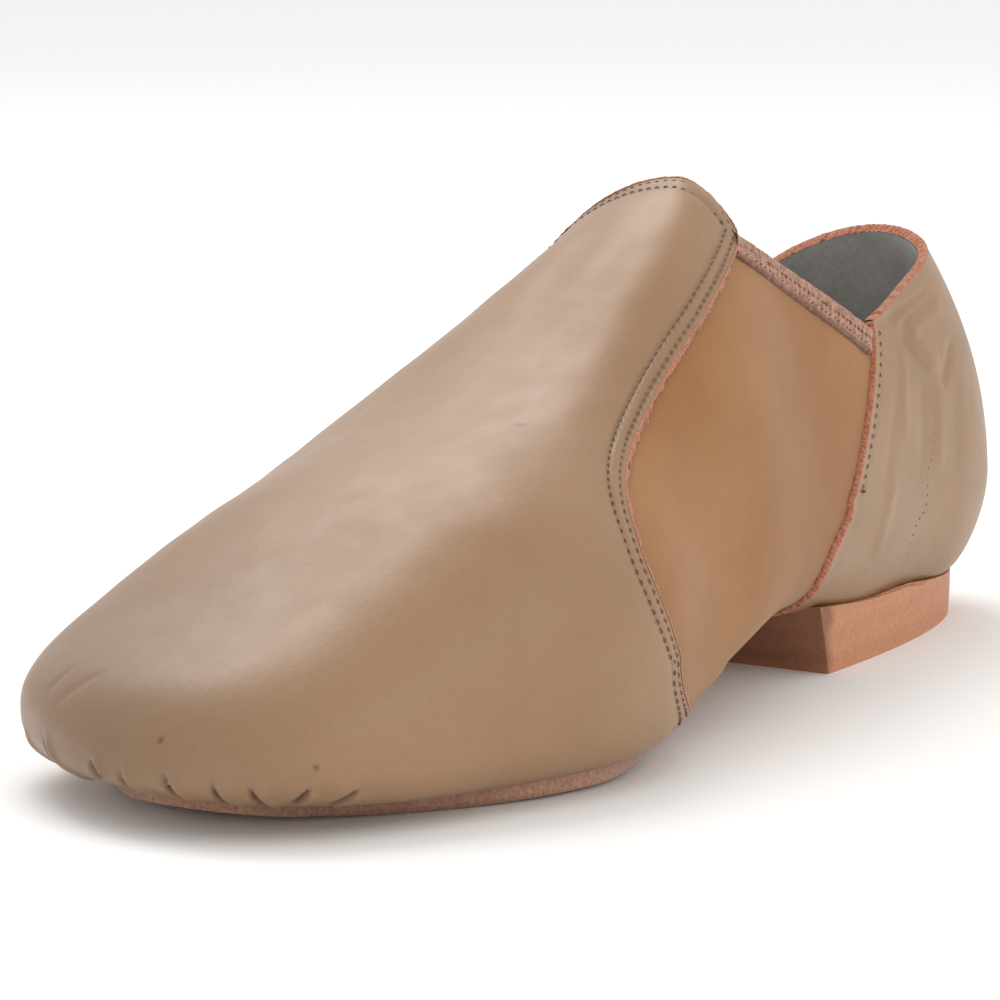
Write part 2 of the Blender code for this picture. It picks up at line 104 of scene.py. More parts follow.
# The insole: shares of the length at its ends, share of the section's width, and how much more at the seat
INSOLE_START = 0.055
INSOLE_END = 0.948
INSOLE_SHARE = 0.74
INSOLE_SEAT_MORE = 0.10

# Sections of the forepart: share of length, medial, lateral and ridge (of BALL_WIDTH), lift (of ARCH_RISE),
# crown (of INSTEP_HEIGHT), height of the widest point, squareness above and below it
FOREPART = (
    (0.00, 0.355, 0.384, 0.040, 0.12, 0.300, 0.46, 2.00, 3.0),
    (0.10, 0.366, 0.476, 0.140, 0.05, 0.314, 0.37, 2.10, 3.6),
    (0.20, 0.452, 0.457, 0.180, 0.00, 0.445, 0.34, 2.20, 4.6),
    (0.30, 0.505, 0.489, 0.172, 0.00, 0.527, 0.32, 2.10, 4.8),
    (0.40, 0.441, 0.495, 0.184, 0.28, 0.642, 0.28, 2.00, 4.0),
    (0.50, 0.415, 0.376, 0.166, 0.85, 0.820, 0.22, 1.85, 3.0),
    (0.60, 0.356, 0.357, 0.085, 1.00, 0.930, 0.20, 1.82, 3.2),
)
# Sections of the back, with the same columns, of SEAT_WIDTH, HEEL_HEIGHT and COLLAR_HEIGHT
BACKPART = (
    (0.66, 0.517, 0.555, 0.03, 1.20, 1.355, 0.23, 2.00, 5.0),
    (0.72, 0.500, 0.550, 0.02, 1.05, 1.355, 0.25, 2.00, 8.0),
    (0.80, 0.483, 0.533, 0.00, 0.98, 1.355, 0.26, 2.00, 9.0),
    (0.90, 0.484, 0.545, 0.00, 0.93, 1.355, 0.26, 2.00, 9.0),
    (1.00, 0.484, 0.530, 0.00, 0.90, 1.355, 0.26, 2.00, 9.0),
)
# Cut edges: degrees round the section from its ridge, share of length
VAMP_EDGE_MEDIAL = (
    (29, 0.600), (33, 0.545), (34.5, 0.500), (34.5, 0.465), (33.5, 0.430), (33.5, 0.395), (35, 0.360),
    (37, 0.338), (40.5, 0.320), (44.5, 0.308), (50, 0.300), (57, 0.294), (65, 0.293), (72, 0.298),
    (79, 0.304), (86, 0.314), (92, 0.324), (99, 0.334), (110, 0.350), (125, 0.375), (150, 0.405),
    (180, 0.415),
)
VAMP_EDGE_LATERAL = (
    (30, 0.600), (36, 0.545), (45, 0.530), (54, 0.505), (60, 0.470), (62.5, 0.430), (64, 0.390),
    (66, 0.355), (69, 0.330), (73, 0.315), (78, 0.308), (84, 0.310), (91, 0.320), (99, 0.335),
    (109, 0.352), (125, 0.375), (150, 0.405), (180, 0.415),
)
QUARTER_EDGE = (
    (50, 0.715), (63, 0.725), (67, 0.726), (71, 0.721), (75, 0.713), (79, 0.704), (83, 0.694),
    (87, 0.683), (89, 0.677), (90, 0.671), (90.4, 0.664), (91.2, 0.657), (92.5, 0.650), (95, 0.642),
    (100, 0.633), (107, 0.625), (118, 0.618), (136, 0.615), (180, 0.612),
)
# Sole patch: share of length, share of the section's half width
SOLE_OUTLINE = (
    (0.050, 0.03), (0.052, 0.15), (0.056, 0.25), (0.064, 0.35), (0.078, 0.44), (0.096, 0.51), (0.115, 0.59),
    (0.140, 0.67), (0.175, 0.76), (0.210, 0.82), (0.263, 0.845), (0.320, 0.82), (0.373, 0.79), (0.430, 0.77),
)
# The edge that the outer side has in place of the inner side's, where they differ
LATERAL = {VAMP_EDGE_MEDIAL: VAMP_EDGE_LATERAL}

# Rows of stitches, by their distance from the cut edge
MM = 0.001
OUTER_ROW = 1.3 * MM
INNER_ROW = 3.4 * MM
QUARTER_ROW = 2.3 * MM
# Degrees at which the quarter's row of stitches ends, and at which the vamp's edge becomes the tongue's
QUARTER_ROW_END = 88.5
TONGUE_END = 34.5

# How strongly painted shade darkens the toe, where the leather faces away from the light, fading out
# over this share of the length
TOE_PAINTED_SHADE = 0.36
TOE_SHADE_END = 0.30

# Second row of stitches on the inner side: share of its way, degrees, share of length
SEAT_ROW = (
    (0.00, 79.8, 0.823), (0.30, 88.0, 0.808), (0.45, 90.2, 0.800), (0.65, 90.8, 0.784), (0.80, 97, 0.777),
    (0.93, 118, 0.779), (1.00, 140, 0.795),
)
# Pleats under the toe: head and foot, each as share of length and degrees
PLEATS = (
    ((0.006, -93), (0.006, -125)), ((0.001, -110), (0.017, -178)), ((0.001, 92), (0.020, 176)),
    ((0.009, 115), (0.032, 167)), ((0.020, 118), (0.038, 154)), ((0.042, 114), (0.043, 138)),
    ((0.067, 116), (0.063, 138)), ((0.030, -100), (0.036, -146)), ((0.060, -104), (0.062, -138)),
)
# Specks in the vamp's leather: share of length and degrees
SPECKS = ((0.308, 3.4), (0.006, 7.0), (0.043, 92))
# Soft hollows and fullness of the vamp: head and foot as share and degrees, height and half width in mm
VAMP_FOLDS = (
    ((0.437, -17), (0.500, -14), -0.55, 5.0), ((0.400, 24), (0.520, 24), -0.45, 4.0),
    ((0.330, 25), (0.400, 25), -0.35, 4.5), ((0.300, -5), (0.340, 20), 0.30, 6.0),
    ((0.044, -64), (0.055, -50), -0.25, 1.0), ((0.032, -61), (0.043, -38), -0.25, 1.0),
    ((0.450, 17), (0.550, 15), 0.45, 4.0), ((0.200, 30), (0.280, 55), 0.30, 7.0),
    ((0.230, 80), (0.290, 95), -0.30, 4.0),
)
# Folds of the quarter on the inner side, in the same way
QUARTER_FOLDS = (
    ((0.750, 65.0), (0.852, 62.1), -0.45, 0.8), ((0.777, 66.3), (0.856, 63.4), -0.40, 0.8),
    ((0.765, 66.0), (0.850, 62.8), 0.25, 0.9), ((0.790, 68.0), (0.868, 65.2), 0.35, 1.3),
    ((0.775, 68.3), (0.816, 74.5), -0.55, 1.1), ((0.790, 68.3), (0.834, 74.0), 0.50, 1.5),
    ((0.868, 71.5), (0.838, 77.5), -0.50, 1.3), ((0.770, 71.0), (0.760, 84.0), 0.35, 1.6),
    ((0.829, 78.0), (0.820, 89.9), 0.40, 2.2), ((0.800, 77.0), (0.790, 89.0), -0.35, 2.0),
    ((0.742, 89.5), (0.716, 94.0), 0.40, 1.4), ((0.752, 76.0), (0.728, 89.0), -0.25, 1.3),
    ((0.858, 78.0), (0.850, 89.9), -0.25, 2.4),
)

# Camera, found from the outline in the picture: its place seen from the shoe, its focal length and the
# picture's centre in pixels of a square picture
AZIMUTH, ELEVATION = math.radians(31.77), math.radians(8.91)
DISTANCE = 0.75139
TARGET = np.array([0, 0, 0.040])
PICTURE_PX = 1000
FOCAL_PX = 4401.2
CENTRE_U_PX, CENTRE_V_PX = 578.88, 466.66
SENSOR_MM = 36

# Lights: place, side length, watts and tint of the key behind the instep, and of the fill beside the camera
LIGHT_AIM = (0, 0, 0.03)
KEY_PLACE, KEY_SIZE, KEY_WATTS, KEY_TINT = (-0.52, 0.26, 0.98), 0.75, 6.0, "FFFBFA"
FILL_RIGHT, FILL_BACK, FILL_UP = 0.9, 0.7, 0.45
FILL_SIZE, FILL_WATTS, FILL_TINT = 0.9, 1.6, "FFFFFF"
WORLD_STRENGTH = 0.92
FLOOR_REACH = 6.0


# The last as a surface

def sections():
    """The two tables as one in metres: at, medial, lateral, ridge, bottom, waist, crown, upper, lower."""
    rows = []
    for table, width, base, rise, height in (
        (FOREPART, BALL_WIDTH, SOLE_THICKNESS + FIT, ARCH_RISE, INSTEP_HEIGHT),
        (BACKPART, SEAT_WIDTH, FIT, HEEL_HEIGHT, COLLAR_HEIGHT),
    ):
        for at, medial, lateral, ridge, lift, crown, widest, upper, lower in table:
            bottom = base + lift * rise
            top = crown * height
            waist = bottom + widest * (top - bottom)
            across = medial * width, lateral * width, ridge * width
            rows.append((at, *across, bottom, waist, top, upper, lower))
    return np.array(rows)


TABLE = sections()


def spline(x, y, where):
    """Natural cubic spline through the points (x, y), solved for the second slopes at its knots."""
    count = len(x)
    step = np.diff(x)
    left = np.eye(count)
    right = np.zeros(count)
    for i in range(1, count - 1):
        left[i, i - 1:i + 2] = step[i - 1], 2 * (step[i - 1] + step[i]), step[i]
        right[i] = 6 * ((y[i + 1] - y[i]) / step[i] - (y[i] - y[i - 1]) / step[i - 1])
    bend = np.linalg.solve(left, right)
    k = np.clip(np.searchsorted(x, where) - 1, 0, count - 2)
    a = (x[k + 1] - where) / step[k]
    b = (where - x[k]) / step[k]
    curve = ((a ** 3 - a) * bend[k] + (b ** 3 - b) * bend[k + 1]) * step[k] ** 2 / 6
    return a * y[k] + b * y[k + 1] + curve


def section_values(at):
    """Half widths, ridge, bottom, waist, crown and squareness at a share of the length. Both ends round in
    by the root of one less a power of the distance from them."""
    medial, lateral, ridge, bottom, waist, crown, upper, lower = (
        spline(TABLE[:, 0], TABLE[:, k], at) for k in range(1, 9)
    )
    toe = np.sqrt(1 - (1 - np.clip(at * LENGTH / TOE_CAP, 0, 1)) ** TOE_ROUNDING)
    heel = np.sqrt(1 - (1 - np.clip((1 - at) * LENGTH / HEEL_CAP, 0, 1)) ** HEEL_ROUNDING)
    inner = (TOE_TIP_SHIFT + (medial - TOE_TIP_SHIFT) * toe) * heel
    outer = (TOE_TIP_SHIFT - (lateral + TOE_TIP_SHIFT) * toe) * heel
    ridge = (TOE_TIP_SHIFT + (ridge - TOE_TIP_SHIFT) * toe) * heel
    bottom, waist, crown = (TOE_TIP_HEIGHT + (v - TOE_TIP_HEIGHT) * toe for v in (bottom, waist, crown))
    return inner, outer, ridge, bottom, waist, crown, upper, lower


def smoothstep(x):
    """Rises from 0 to 1 as three x squared less two x cubed, and is held at both ends."""
    x = np.clip(x, 0, 1)
    return x * x * (3 - 2 * x)


def back_shift(at, z):
    """How far the heel's profile leans forward above its bulge, by a power of the height, and tucks in
    below it, by a square. The lean stops growing a little above the collar, or the form would fold over."""
    above = np.clip((z - BACK_BULGE_HEIGHT) / (COLLAR_HEIGHT - BACK_BULGE_HEIGHT), 0, LEAN_LIMIT)
    below = np.clip(BACK_BULGE_HEIGHT - z, 0, None) / (BACK_BULGE_HEIGHT - HEEL_HEIGHT)
    reach = BACK_LEAN * above ** BACK_CURVE + BACK_TUCK * below ** 2
    return smoothstep((at - LEAN_START) / LEAN_SPAN) * reach


def seat_taper(at, z):
    """Share of its width that the heel keeps as it draws in below its bulge, towards the heel block."""
    below = np.clip(BACK_BULGE_HEIGHT - z, 0, None) / (BACK_BULGE_HEIGHT - HEEL_HEIGHT)
    return 1 - SEAT_TAPER * smoothstep((at - TAPER_START) / TAPER_SPAN) * below ** TAPER_POWER


def last(at, angle):
    """Points of the upper's outside: four superellipse quarters round each section, from its ridge."""
    inner, outer, ridge, bottom, waist, crown, upper, lower = section_values(at)
    s, c = np.sin(angle), np.cos(angle)
    power = 2 / np.where(c >= 0, upper, lower)
    across = np.sign(s) * np.abs(s) ** power
    up = np.sign(c) * np.abs(c) ** power
    x = ridge + np.where(s >= 0, inner - ridge, ridge - outer) * across
    z = waist + np.where(c >= 0, crown - waist, waist - bottom) * up
    x = x * seat_taper(at, z)
    y = (at - 0.5) * LENGTH - back_shift(at, z)
    return np.stack([x, y, z], -1)


def unit(vectors):
    """Each vector over its own length."""
    return vectors / np.maximum(np.linalg.norm(vectors, axis=-1, keepdims=True), 1e-12)


def normal_at(at, angle):
    """Outward unit normal: the cross product of the two central differences of the surface."""
    inside = np.clip(at, 0.0008, 0.9992)
    along = last(inside + 0.0004, angle) - last(inside - 0.0004, angle)
    around = last(inside, angle + 0.006) - last(inside, angle - 0.006)
    return unit(np.cross(around, along))


def underside(x, y):
    """Height of the upper's outside below its widest line at plan position (x, y), by repeated correction
    of the share of length for the tuck at the back."""
    at = y / LENGTH + 0.5
    z = np.zeros_like(x) + HEEL_HEIGHT
    for _ in range(12):
        inner, outer, ridge, bottom, waist, _, _, lower = section_values(np.clip(at, 0, 1))
        full = x / seat_taper(at, z)
        side = np.where(full >= ridge, inner - ridge, ridge - outer)
        across = np.clip(np.abs(full - ridge) / np.maximum(side, 1e-6), 0, 0.999)
        z = waist - (waist - bottom) * (1 - across ** lower) ** (1 / lower)
        at = (y + back_shift(at, z)) / LENGTH + 0.5
    return z


# Lines on it, each as shares of the length and angles

def collar_points():
    """Side view of the collar as (y, z): down the tongue, along the gore and up the quarter to the back."""
    front = [(0.534, INSTEP_HEIGHT * 1.30), (0.541, INSTEP_HEIGHT * 0.98), (0.545, INSTEP_HEIGHT * 0.88),
             (0.559, CORNER_HEIGHT), (DIP_AT, DIP_HEIGHT)]
    line = [((at - 0.5) * LENGTH, z) for at, z in front]
    rise = np.linspace(0, 1, 41)[1:]
    at = DIP_AT + (BACK_AT - DIP_AT) * rise
    z = DIP_HEIGHT + (COLLAR_HEIGHT - DIP_HEIGHT) * np.sin(rise * math.pi / 2) ** COLLAR_RISE_POWER
    return np.array(line + list(zip((at - 0.5) * LENGTH, z)) + [(0.6 * LENGTH, COLLAR_HEIGHT)])


COLLAR = collar_points()


def collar_height(x, y):
    """The collar line's height behind the tongue, lower towards the back of the outer side."""
    outwards = np.clip((SEAT_WIDTH / 2 - x) / SEAT_WIDTH, 0, 1)
    back = np.clip((y / LENGTH - DROP_START) / DROP_SPAN, 0, 1.2)
    return np.interp(y, COLLAR[3:, 0], COLLAR[3:, 1]) - COLLAR_DROP * outwards ** 4 * back ** 1.2


def collar_angle(at, side):
    """Angle at which each section meets the collar line, from the first change of sign down the section."""
    angle = np.radians(np.linspace(4, 130, 500))
    ring = last(at[:, None], side * angle[None, :])
    above = ring[..., 2] - collar_height(ring[..., 0], ring[..., 1])
    k = np.clip(np.argmax(above < 0, axis=1), 1, None)
    row = np.arange(len(at))
    high, low = above[row, k - 1], above[row, k]
    return side * (angle[k - 1] + (angle[k] - angle[k - 1]) * high / (high - low))


def tongue_share(angle, side):
    """Share of length at which the collar's steep front line cuts each angle of the tongue."""
    at = np.linspace(0.47, 0.60, 500)
    ring = last(at[None, :], side * angle[:, None])
    behind = ring[..., 1] - np.interp(ring[..., 2], COLLAR[3::-1, 1], COLLAR[3::-1, 0])
    k = np.clip(np.argmax(behind > 0, axis=1), 1, None)
    return at[k]


def travelled(points):
    """Length of a line of points up to each of them."""
    return np.concatenate([[0], np.cumsum(np.linalg.norm(np.diff(points, axis=0), axis=1))])


def resample(at, angle, count):
    """The same line with its points evenly spaced along its real length."""
    way = travelled(last(at, angle))
    even = np.linspace(0, way[-1], count)
    return np.interp(even, way, at), np.interp(even, way, angle)


def soften(values, reach):
    """A running mean, weighted by a raised cosine over the reach, with the ends held."""
    if reach < 1:
        return values
    weight = 1 + np.cos(np.linspace(-math.pi, math.pi, 2 * reach + 3)[1:-1])
    weight /= weight.sum()
    before = 2 * values[0] - values[reach:0:-1]
    after = 2 * values[-1] - values[-2:-reach - 2:-1]
    return np.convolve(np.concatenate([before, values, after]), weight, "valid")


def seam(table, side):
    """A cut edge from the collar to under the foot, as shares and angles, smoothed over a few mm."""
    rows = np.array(table if side > 0 else LATERAL.get(table, table))
    way = np.concatenate([[0], np.cumsum(np.hypot(np.diff(rows[:, 0]) / 100, np.diff(rows[:, 1])))])
    even = np.linspace(0, way[-1], 900)
    angle = side * np.radians(np.interp(even, way, rows[:, 0]))
    at, angle = resample(np.interp(even, way, rows[:, 1]), angle, 900)
    at, angle = soften(at, 30), soften(angle, 30)
    points = last(at, angle)
    below = points[:, 2] < collar_height(points[:, 0], points[:, 1])
    below |= points[:, 1] < np.interp(points[:, 2], COLLAR[3::-1, 1], COLLAR[3::-1, 0])
    start = np.argmax(below)
    return resample(at[start:], angle[start:], 600)


def vamp_outline():
    """The vamp's whole edge: up from under the inner side, over the tongue and down the outer side."""
    halves = []
    for side in (1, -1):
        at, angle = seam(VAMP_EDGE_MEDIAL, side)
        top = np.linspace(abs(angle[0]) * 0.97, 0, 120)
        tongue = tongue_share(top, side)
        at = np.concatenate([at[::-1], tongue])
        angle = np.concatenate([angle[::-1], side * top])
        halves.append((at, angle))
    (at_in, angle_in), (at_out, angle_out) = halves
    at = np.concatenate([at_in, at_out[-2::-1]])
    angle = np.concatenate([angle_in, angle_out[-2::-1]])
    at, angle = resample(at, angle, 1600)
    at, angle = soften(at, 22), soften(angle, 22)
    return resample(at, angle, 1600)


def curve_frame(at, angle):
    """Points of a line on the last with its direction, the direction across it and the outward normal."""
    points = last(at, angle)
    normal = normal_at(at, angle)
    forward = unit(np.gradient(points, axis=0))
    return points, forward, unit(np.cross(normal, forward)), normal


def shift(at, angle, vector):
    """Moves along the surface by a small vector: its parts along the two slopes of the surface, by least
    squares."""
    u = (last(at + 1e-4, angle) - last(at - 1e-4, angle)) / 2e-4
    v = (last(at, angle + 1e-3) - last(at, angle - 1e-3)) / 2e-3
    a, b, c = (u * u).sum(-1), (u * v).sum(-1), (v * v).sum(-1)
    r, s = (u * vector).sum(-1), (v * vector).sum(-1)
    det = np.maximum(a * c - b * b, 1e-14)
    return at + (r * c - s * b) / det, angle + (a * s - b * r) / det


def inset(at, angle, distance):
    """A line beside the given one on the surface, at a distance towards its left hand."""
    for _ in range(4):
        _, _, across, _ = curve_frame(at, angle)
        at, angle = shift(at, angle, across * distance / 4)
    return resample(soften(at, 12), soften(angle, 12), len(at))


def nearest(points, line):
    """Distance from each point to the closest point of a line, in blocks to spare memory."""
    flat = points.reshape(-1, 3).astype(np.float32)
    line = line.astype(np.float32)
    found = [
        np.sqrt(((flat[i:i + 4000, None, :] - line[None, :, :]) ** 2).sum(-1).min(1))
        for i in range(0, len(flat), 4000)
    ]
    return np.concatenate(found).reshape(points.shape[:-1]).astype(float)


def bump(distance, width):
    """A bell curve of height 1."""
    return np.exp(-(distance / width) ** 2)


def ripple(points, size, seed):
    """Smooth unrepeated waves between -1 and 1: a sum of sines in fixed scattered directions."""
    random = np.random.default_rng(seed)
    total = 0
    for _ in range(7):
        direction = unit(random.normal(size=3)) * 2 * math.pi / (size * random.uniform(0.7, 1.5))
        total = total + np.sin(points @ direction + random.uniform(0, 6.3))
    return total / 3.5


# Making meshes

def make_mesh(name, points, faces, look, attributes=None, merge=True):
    """A mesh object that rides on the shoe, with smooth faces and one float attribute per given array."""
    mesh = bpy.data.meshes.new(name)
    mesh.vertices.add(len(points))
    mesh.vertices.foreach_set("co", np.asarray(points, np.float32).ravel())
    faces = np.asarray(faces, np.int32)
    corners = faces.shape[1]
    mesh.loops.add(faces.size)
    mesh.loops.foreach_set("vertex_index", faces.ravel())
    mesh.polygons.add(len(faces))
    mesh.polygons.foreach_set("loop_start", np.arange(len(faces), dtype=np.int32) * corners)
    for key, values in (attributes or {}).items():
        layer = mesh.attributes.new(key, "FLOAT", "POINT")
        layer.data.foreach_set("value", np.asarray(values, np.float32).ravel())
    mesh.update(calc_edges=True)
    mesh.validate()
    if merge:
        work = bmesh.new()
        work.from_mesh(mesh)
        bmesh.ops.remove_doubles(work, verts=work.verts, dist=2e-6)
        work.to_mesh(mesh)
        work.free()
    mesh.shade_smooth()
    made = bpy.data.objects.new(name, mesh)
    mesh.materials.append(look)
    bpy.context.scene.collection.objects.link(made)
    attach(made, "root")
    return made


def grid_faces(rows, columns, wrap=False, flip=False):
    """Quads between neighbours of a grid that is stored row by row."""
    i, j = np.meshgrid(np.arange(rows - 1), np.arange(columns if wrap else columns - 1), indexing="ij")
    k = (j + 1) % columns
    quads = np.stack([i * columns + j, i * columns + k, (i + 1) * columns + k, (i + 1) * columns + j], -1)
    quads = quads.reshape(-1, 4)
    return quads[:, ::-1] if flip else quads


def facing(points, outward):
    """Whether the quads of grid_faces have to be turned to face the given way."""
    rows, columns = points.shape[0] // 2, points.shape[1] // 3
    p = points[rows, columns]
    normal = np.cross(points[rows, columns + 1] - p, points[rows + 1, columns] - p)
    return np.dot(normal, outward[rows, columns]) < 0


def sheet(name, points, outward, look, attributes=None):
    """A grid of points as one surface that faces the given way."""
    faces = grid_faces(*points.shape[:2], flip=facing(points, outward))
    return make_mesh(name, points.reshape(-1, 3), faces, look, attributes)


def sweep(name, points, across, normal, profile, look, attributes=None, closed=False):
    """A profile carried along a line. The profile holds distances across and up for each of its points, or
    for each of its points at each place of the line."""
    profile = np.asarray(profile, float)
    if profile.ndim == 2:
        profile = np.repeat(profile[:, None, :], len(points), axis=1)
    grid = points[None] + across[None] * profile[..., :1] + normal[None] * profile[..., 1:]
    if not closed:
        middle = grid.mean(axis=0, keepdims=True)
        return sheet(name, grid, grid - middle, look, attributes)
    grid = grid.transpose(1, 0, 2)
    rows, columns = grid.shape[:2]
    faces = grid_faces(rows, columns, wrap=True)
    middle = grid.mean(axis=1)
    ring = np.cross(grid[1, 1] - grid[1, 0], grid[2, 0] - grid[1, 0])
    if np.dot(ring, grid[1, 0] - middle[1]) < 0:
        faces = faces[:, ::-1]
    points = np.concatenate([grid.reshape(-1, 3), middle[:1], middle[-1:]])
    first, end = rows * columns, rows * columns + 1
    j = np.arange(columns)
    k = (j + 1) % columns
    start_cap = np.stack([j, k, np.full(columns, first), np.full(columns, first)], -1)
    end_cap = np.stack([k, j, np.full(columns, end), np.full(columns, end)], -1) + [
        (rows - 1) * columns, (rows - 1) * columns, 0, 0
    ]
    if np.dot(ring, grid[1, 0] - middle[1]) >= 0:
        start_cap, end_cap = start_cap[:, [1, 0, 2, 3]], end_cap[:, [1, 0, 2, 3]]
    return make_mesh(name, points, np.concatenate([faces, start_cap, end_cap]), look, attributes)


# Materials

def linear(hex_code):
    """An sRGB hex code as linear red, green, blue and an alpha of 1."""
    parts = [int(hex_code[i:i + 2], 16) / 255 for i in (0, 2, 4)]
    return [p / 12.92 if p <= 0.04045 else ((p + 0.055) / 1.055) ** 2.4 for p in parts] + [1.0]


def add(tree, kind, inputs=None, **settings):
    """Adds a node, sets its settings, and sets or links each of its inputs, named or numbered."""
    made = tree.nodes.new("ShaderNode" + kind)
    for key, value in settings.items():
        setattr(made, key, value)
    for key, value in (inputs or {}).items():
        if isinstance(value, bpy.types.NodeSocket):
            tree.links.new(value, made.inputs[key])
        else:
            made.inputs[key].default_value = value
    return made


def blank(name, roughness, **values):
    """A material with one Principled shader, and the place of each point on the shoe."""
    made = bpy.data.materials.new(name)
    made.use_nodes = True
    tree = made.node_tree
    shader = tree.nodes["Principled BSDF"]
    shader.inputs["Roughness"].default_value = roughness
    for key, value in values.items():
        shader.inputs[key.replace("_", " ")].default_value = value
    place = add(tree, "TexCoord").outputs["Object"]
    return made, tree, shader, place


def noise(tree, place, size_mm, detail=2.0, roughness=0.5):
    """Noise whose blobs are about this many mm across."""
    return add(tree, "TexNoise", {"Vector": place, "Scale": 1000 / size_mm, "Detail": detail,
                                  "Roughness": roughness}).outputs["Fac"]


def mix(tree, factor, first, second, blend="MIX"):
    """The first colour where the factor is 0, the second where it is 1."""
    made = add(tree, "Mix", {0: factor, 6: first, 7: second}, data_type="RGBA", blend_type=blend)
    return made.outputs[2]


def span(tree, value, low, high, to_low=0.0, to_high=1.0):
    """The value carried from one range to another and held at its ends."""
    return add(tree, "MapRange", {"Value": value, "From Min": low, "From Max": high, "To Min": to_low,
                                  "To Max": to_high}).outputs["Result"]


def attribute(tree, name):
    """A value that the piece's own mesh carries at its points."""
    return add(tree, "Attribute", attribute_name=name).outputs["Fac"]


def roughen(tree, shader, height, depth_mm, strength=1.0, below=None):
    """Relief of the given depth in the light, laid over the relief below it."""
    inputs = {"Height": height, "Distance": depth_mm * MM, "Strength": strength}
    if below is not None:
        inputs["Normal"] = below
    made = add(tree, "Bump", inputs)
    tree.links.new(made.outputs["Normal"], shader.inputs["Normal"])
    return made.outputs["Normal"]


def full_grain_leather():
    """Chrome-tanned full-grain leather, drummed and lightly finished: a tan with slow changes of tone, a fine
    pebble that only shows in the light, and a soft satin coat."""
    made, tree, shader, place = blank("tan full-grain leather, satin finished", 0.44, IOR=1.48,
                                      Coat_Weight=0.22, Coat_Roughness=0.36)
    tone = noise(tree, place, 38, 3)
    base = mix(tree, span(tree, tone, 0.35, 0.65), linear("92704F"), linear("9C7A59"))
    pores = add(tree, "TexVoronoi", {"Vector": place, "Scale": 1000 / 0.75, "Randomness": 1.0},
                feature="SMOOTH_F1").outputs["Distance"]
    fine = noise(tree, place, 0.35, 2)
    base = mix(tree, span(tree, pores, 0.2, 0.8, 0.0, 0.22), base, linear("8C6543"))
    # darker where the dark attribute is set: real specks, and painted shade at the toe, in the pleat slits
    # and beside the rows of stitches
    base = mix(tree, attribute(tree, "dark"), base, linear("452E20"))
    # pale where the pale attribute is set: painted highlight along the cut edges and the collar's rim
    base = mix(tree, attribute(tree, "pale"), base, linear("B39478"))
    tree.links.new(base, shader.inputs["Base Color"])
    rough = span(tree, noise(tree, place, 6, 3), 0.3, 0.7, 0.40, 0.49)
    tree.links.new(rough, shader.inputs["Roughness"])
    soft = roughen(tree, shader, pores, 0.06, 0.5)
    soft = roughen(tree, shader, noise(tree, place, 3.5, 2), 0.10, 0.25, soft)
    roughen(tree, shader, fine, 0.025, 0.3, soft)
    return made


def raw_leather():
    """The cut edge of the same leather, undyed and brushed up: orange-pink fibres with no gloss."""
    made, tree, shader, place = blank("raw cut leather edge", 0.95, Sheen_Weight=0.35, Sheen_Roughness=0.5)
    fibre = noise(tree, place, 0.45, 4, 0.7)
    base = mix(tree, span(tree, fibre, 0.35, 0.65), linear("9A4E2E"), linear("D08A66"))
    base = mix(tree, span(tree, noise(tree, place, 5, 2), 0.4, 0.7, 0, 0.45), base, linear("B47A57"))
    tree.links.new(base, shader.inputs["Base Color"])
    roughen(tree, shader, fibre, 0.35, 0.9)
    return made


def gore_fabric():
    """Stretch gore: a fine dense knit of nylon over elastic, brushed matte, slightly browner than the
    leather. Its ribs are about half a millimetre apart."""
    made, tree, shader, place = blank("stretch gore knit", 0.82, Sheen_Weight=0.18, Sheen_Roughness=0.45)
    tone = noise(tree, place, 22, 3)
    base = mix(tree, span(tree, tone, 0.35, 0.65), linear("9A693B"), linear("A47446"))
    ribs = add(tree, "TexWave", {"Vector": place, "Scale": 1000 / 0.5 / 6.283, "Distortion": 1.2,
                                 "Detail": 2.0, "Detail Scale": 1.5}, bands_direction="Y").outputs["Fac"]
    fuzz = noise(tree, place, 0.4, 3, 0.6)
    base = mix(tree, span(tree, fuzz, 0.3, 0.7, 0, 0.16), base, linear("7F5533"))
    base = mix(tree, span(tree, ribs, 0, 1, 0, 0.04), base, linear("8F6543"))
    # painted shade along the seams, under the leather's edges
    base = mix(tree, attribute(tree, "dark"), base, linear("6E4C33"))
    tree.links.new(base, shader.inputs["Base Color"])
    soft = roughen(tree, shader, ribs, 0.03, 0.2)
    roughen(tree, shader, fuzz, 0.10, 0.6, soft)
    return made


def tape():
    """Folded binding tape of brushed fabric, pinkish, with its pile standing up and a shadowed lower seam."""
    made, tree, shader, place = blank("brushed binding tape", 0.95, Sheen_Weight=0.15, Sheen_Roughness=0.5)
    pile = noise(tree, place, 0.9, 4, 0.7)
    base = mix(tree, span(tree, pile, 0.35, 0.68), linear("8A5E4A"), linear("CC9A82"))
    # painted shade along the lower seam
    base = mix(tree, attribute(tree, "dark"), base, linear("533A2D"))
    tree.links.new(base, shader.inputs["Base Color"])
    roughen(tree, shader, pile, 0.5, 0.9)
    return made


def thread(name, hex_code):
    """Spun polyester sewing thread: matte with a slight twist."""
    made, tree, shader, place = blank(name, 0.8)
    shade = noise(tree, place, 0.7, 2)
    tree.links.new(mix(tree, shade, linear(hex_code), linear("4A3628")), shader.inputs["Base Color"])
    return made


def brushed_lining():
    """Grey brushed cotton and polyester lining: a short even nap with no gloss."""
    made, tree, shader, place = blank("grey brushed lining", 0.95, Sheen_Weight=0.3, Sheen_Roughness=0.5)
    nap = noise(tree, place, 0.7, 3, 0.6)
    tone = noise(tree, place, 14, 3)
    base = mix(tree, span(tree, tone, 0.3, 0.7), linear("A5A39E"), linear("CCCAC5"))
    base = mix(tree, span(tree, nap, 0.3, 0.7, 0, 0.35), base, linear("6B6862"))
    tree.links.new(base, shader.inputs["Base Color"])
    roughen(tree, shader, nap, 0.15, 0.7)
    return made


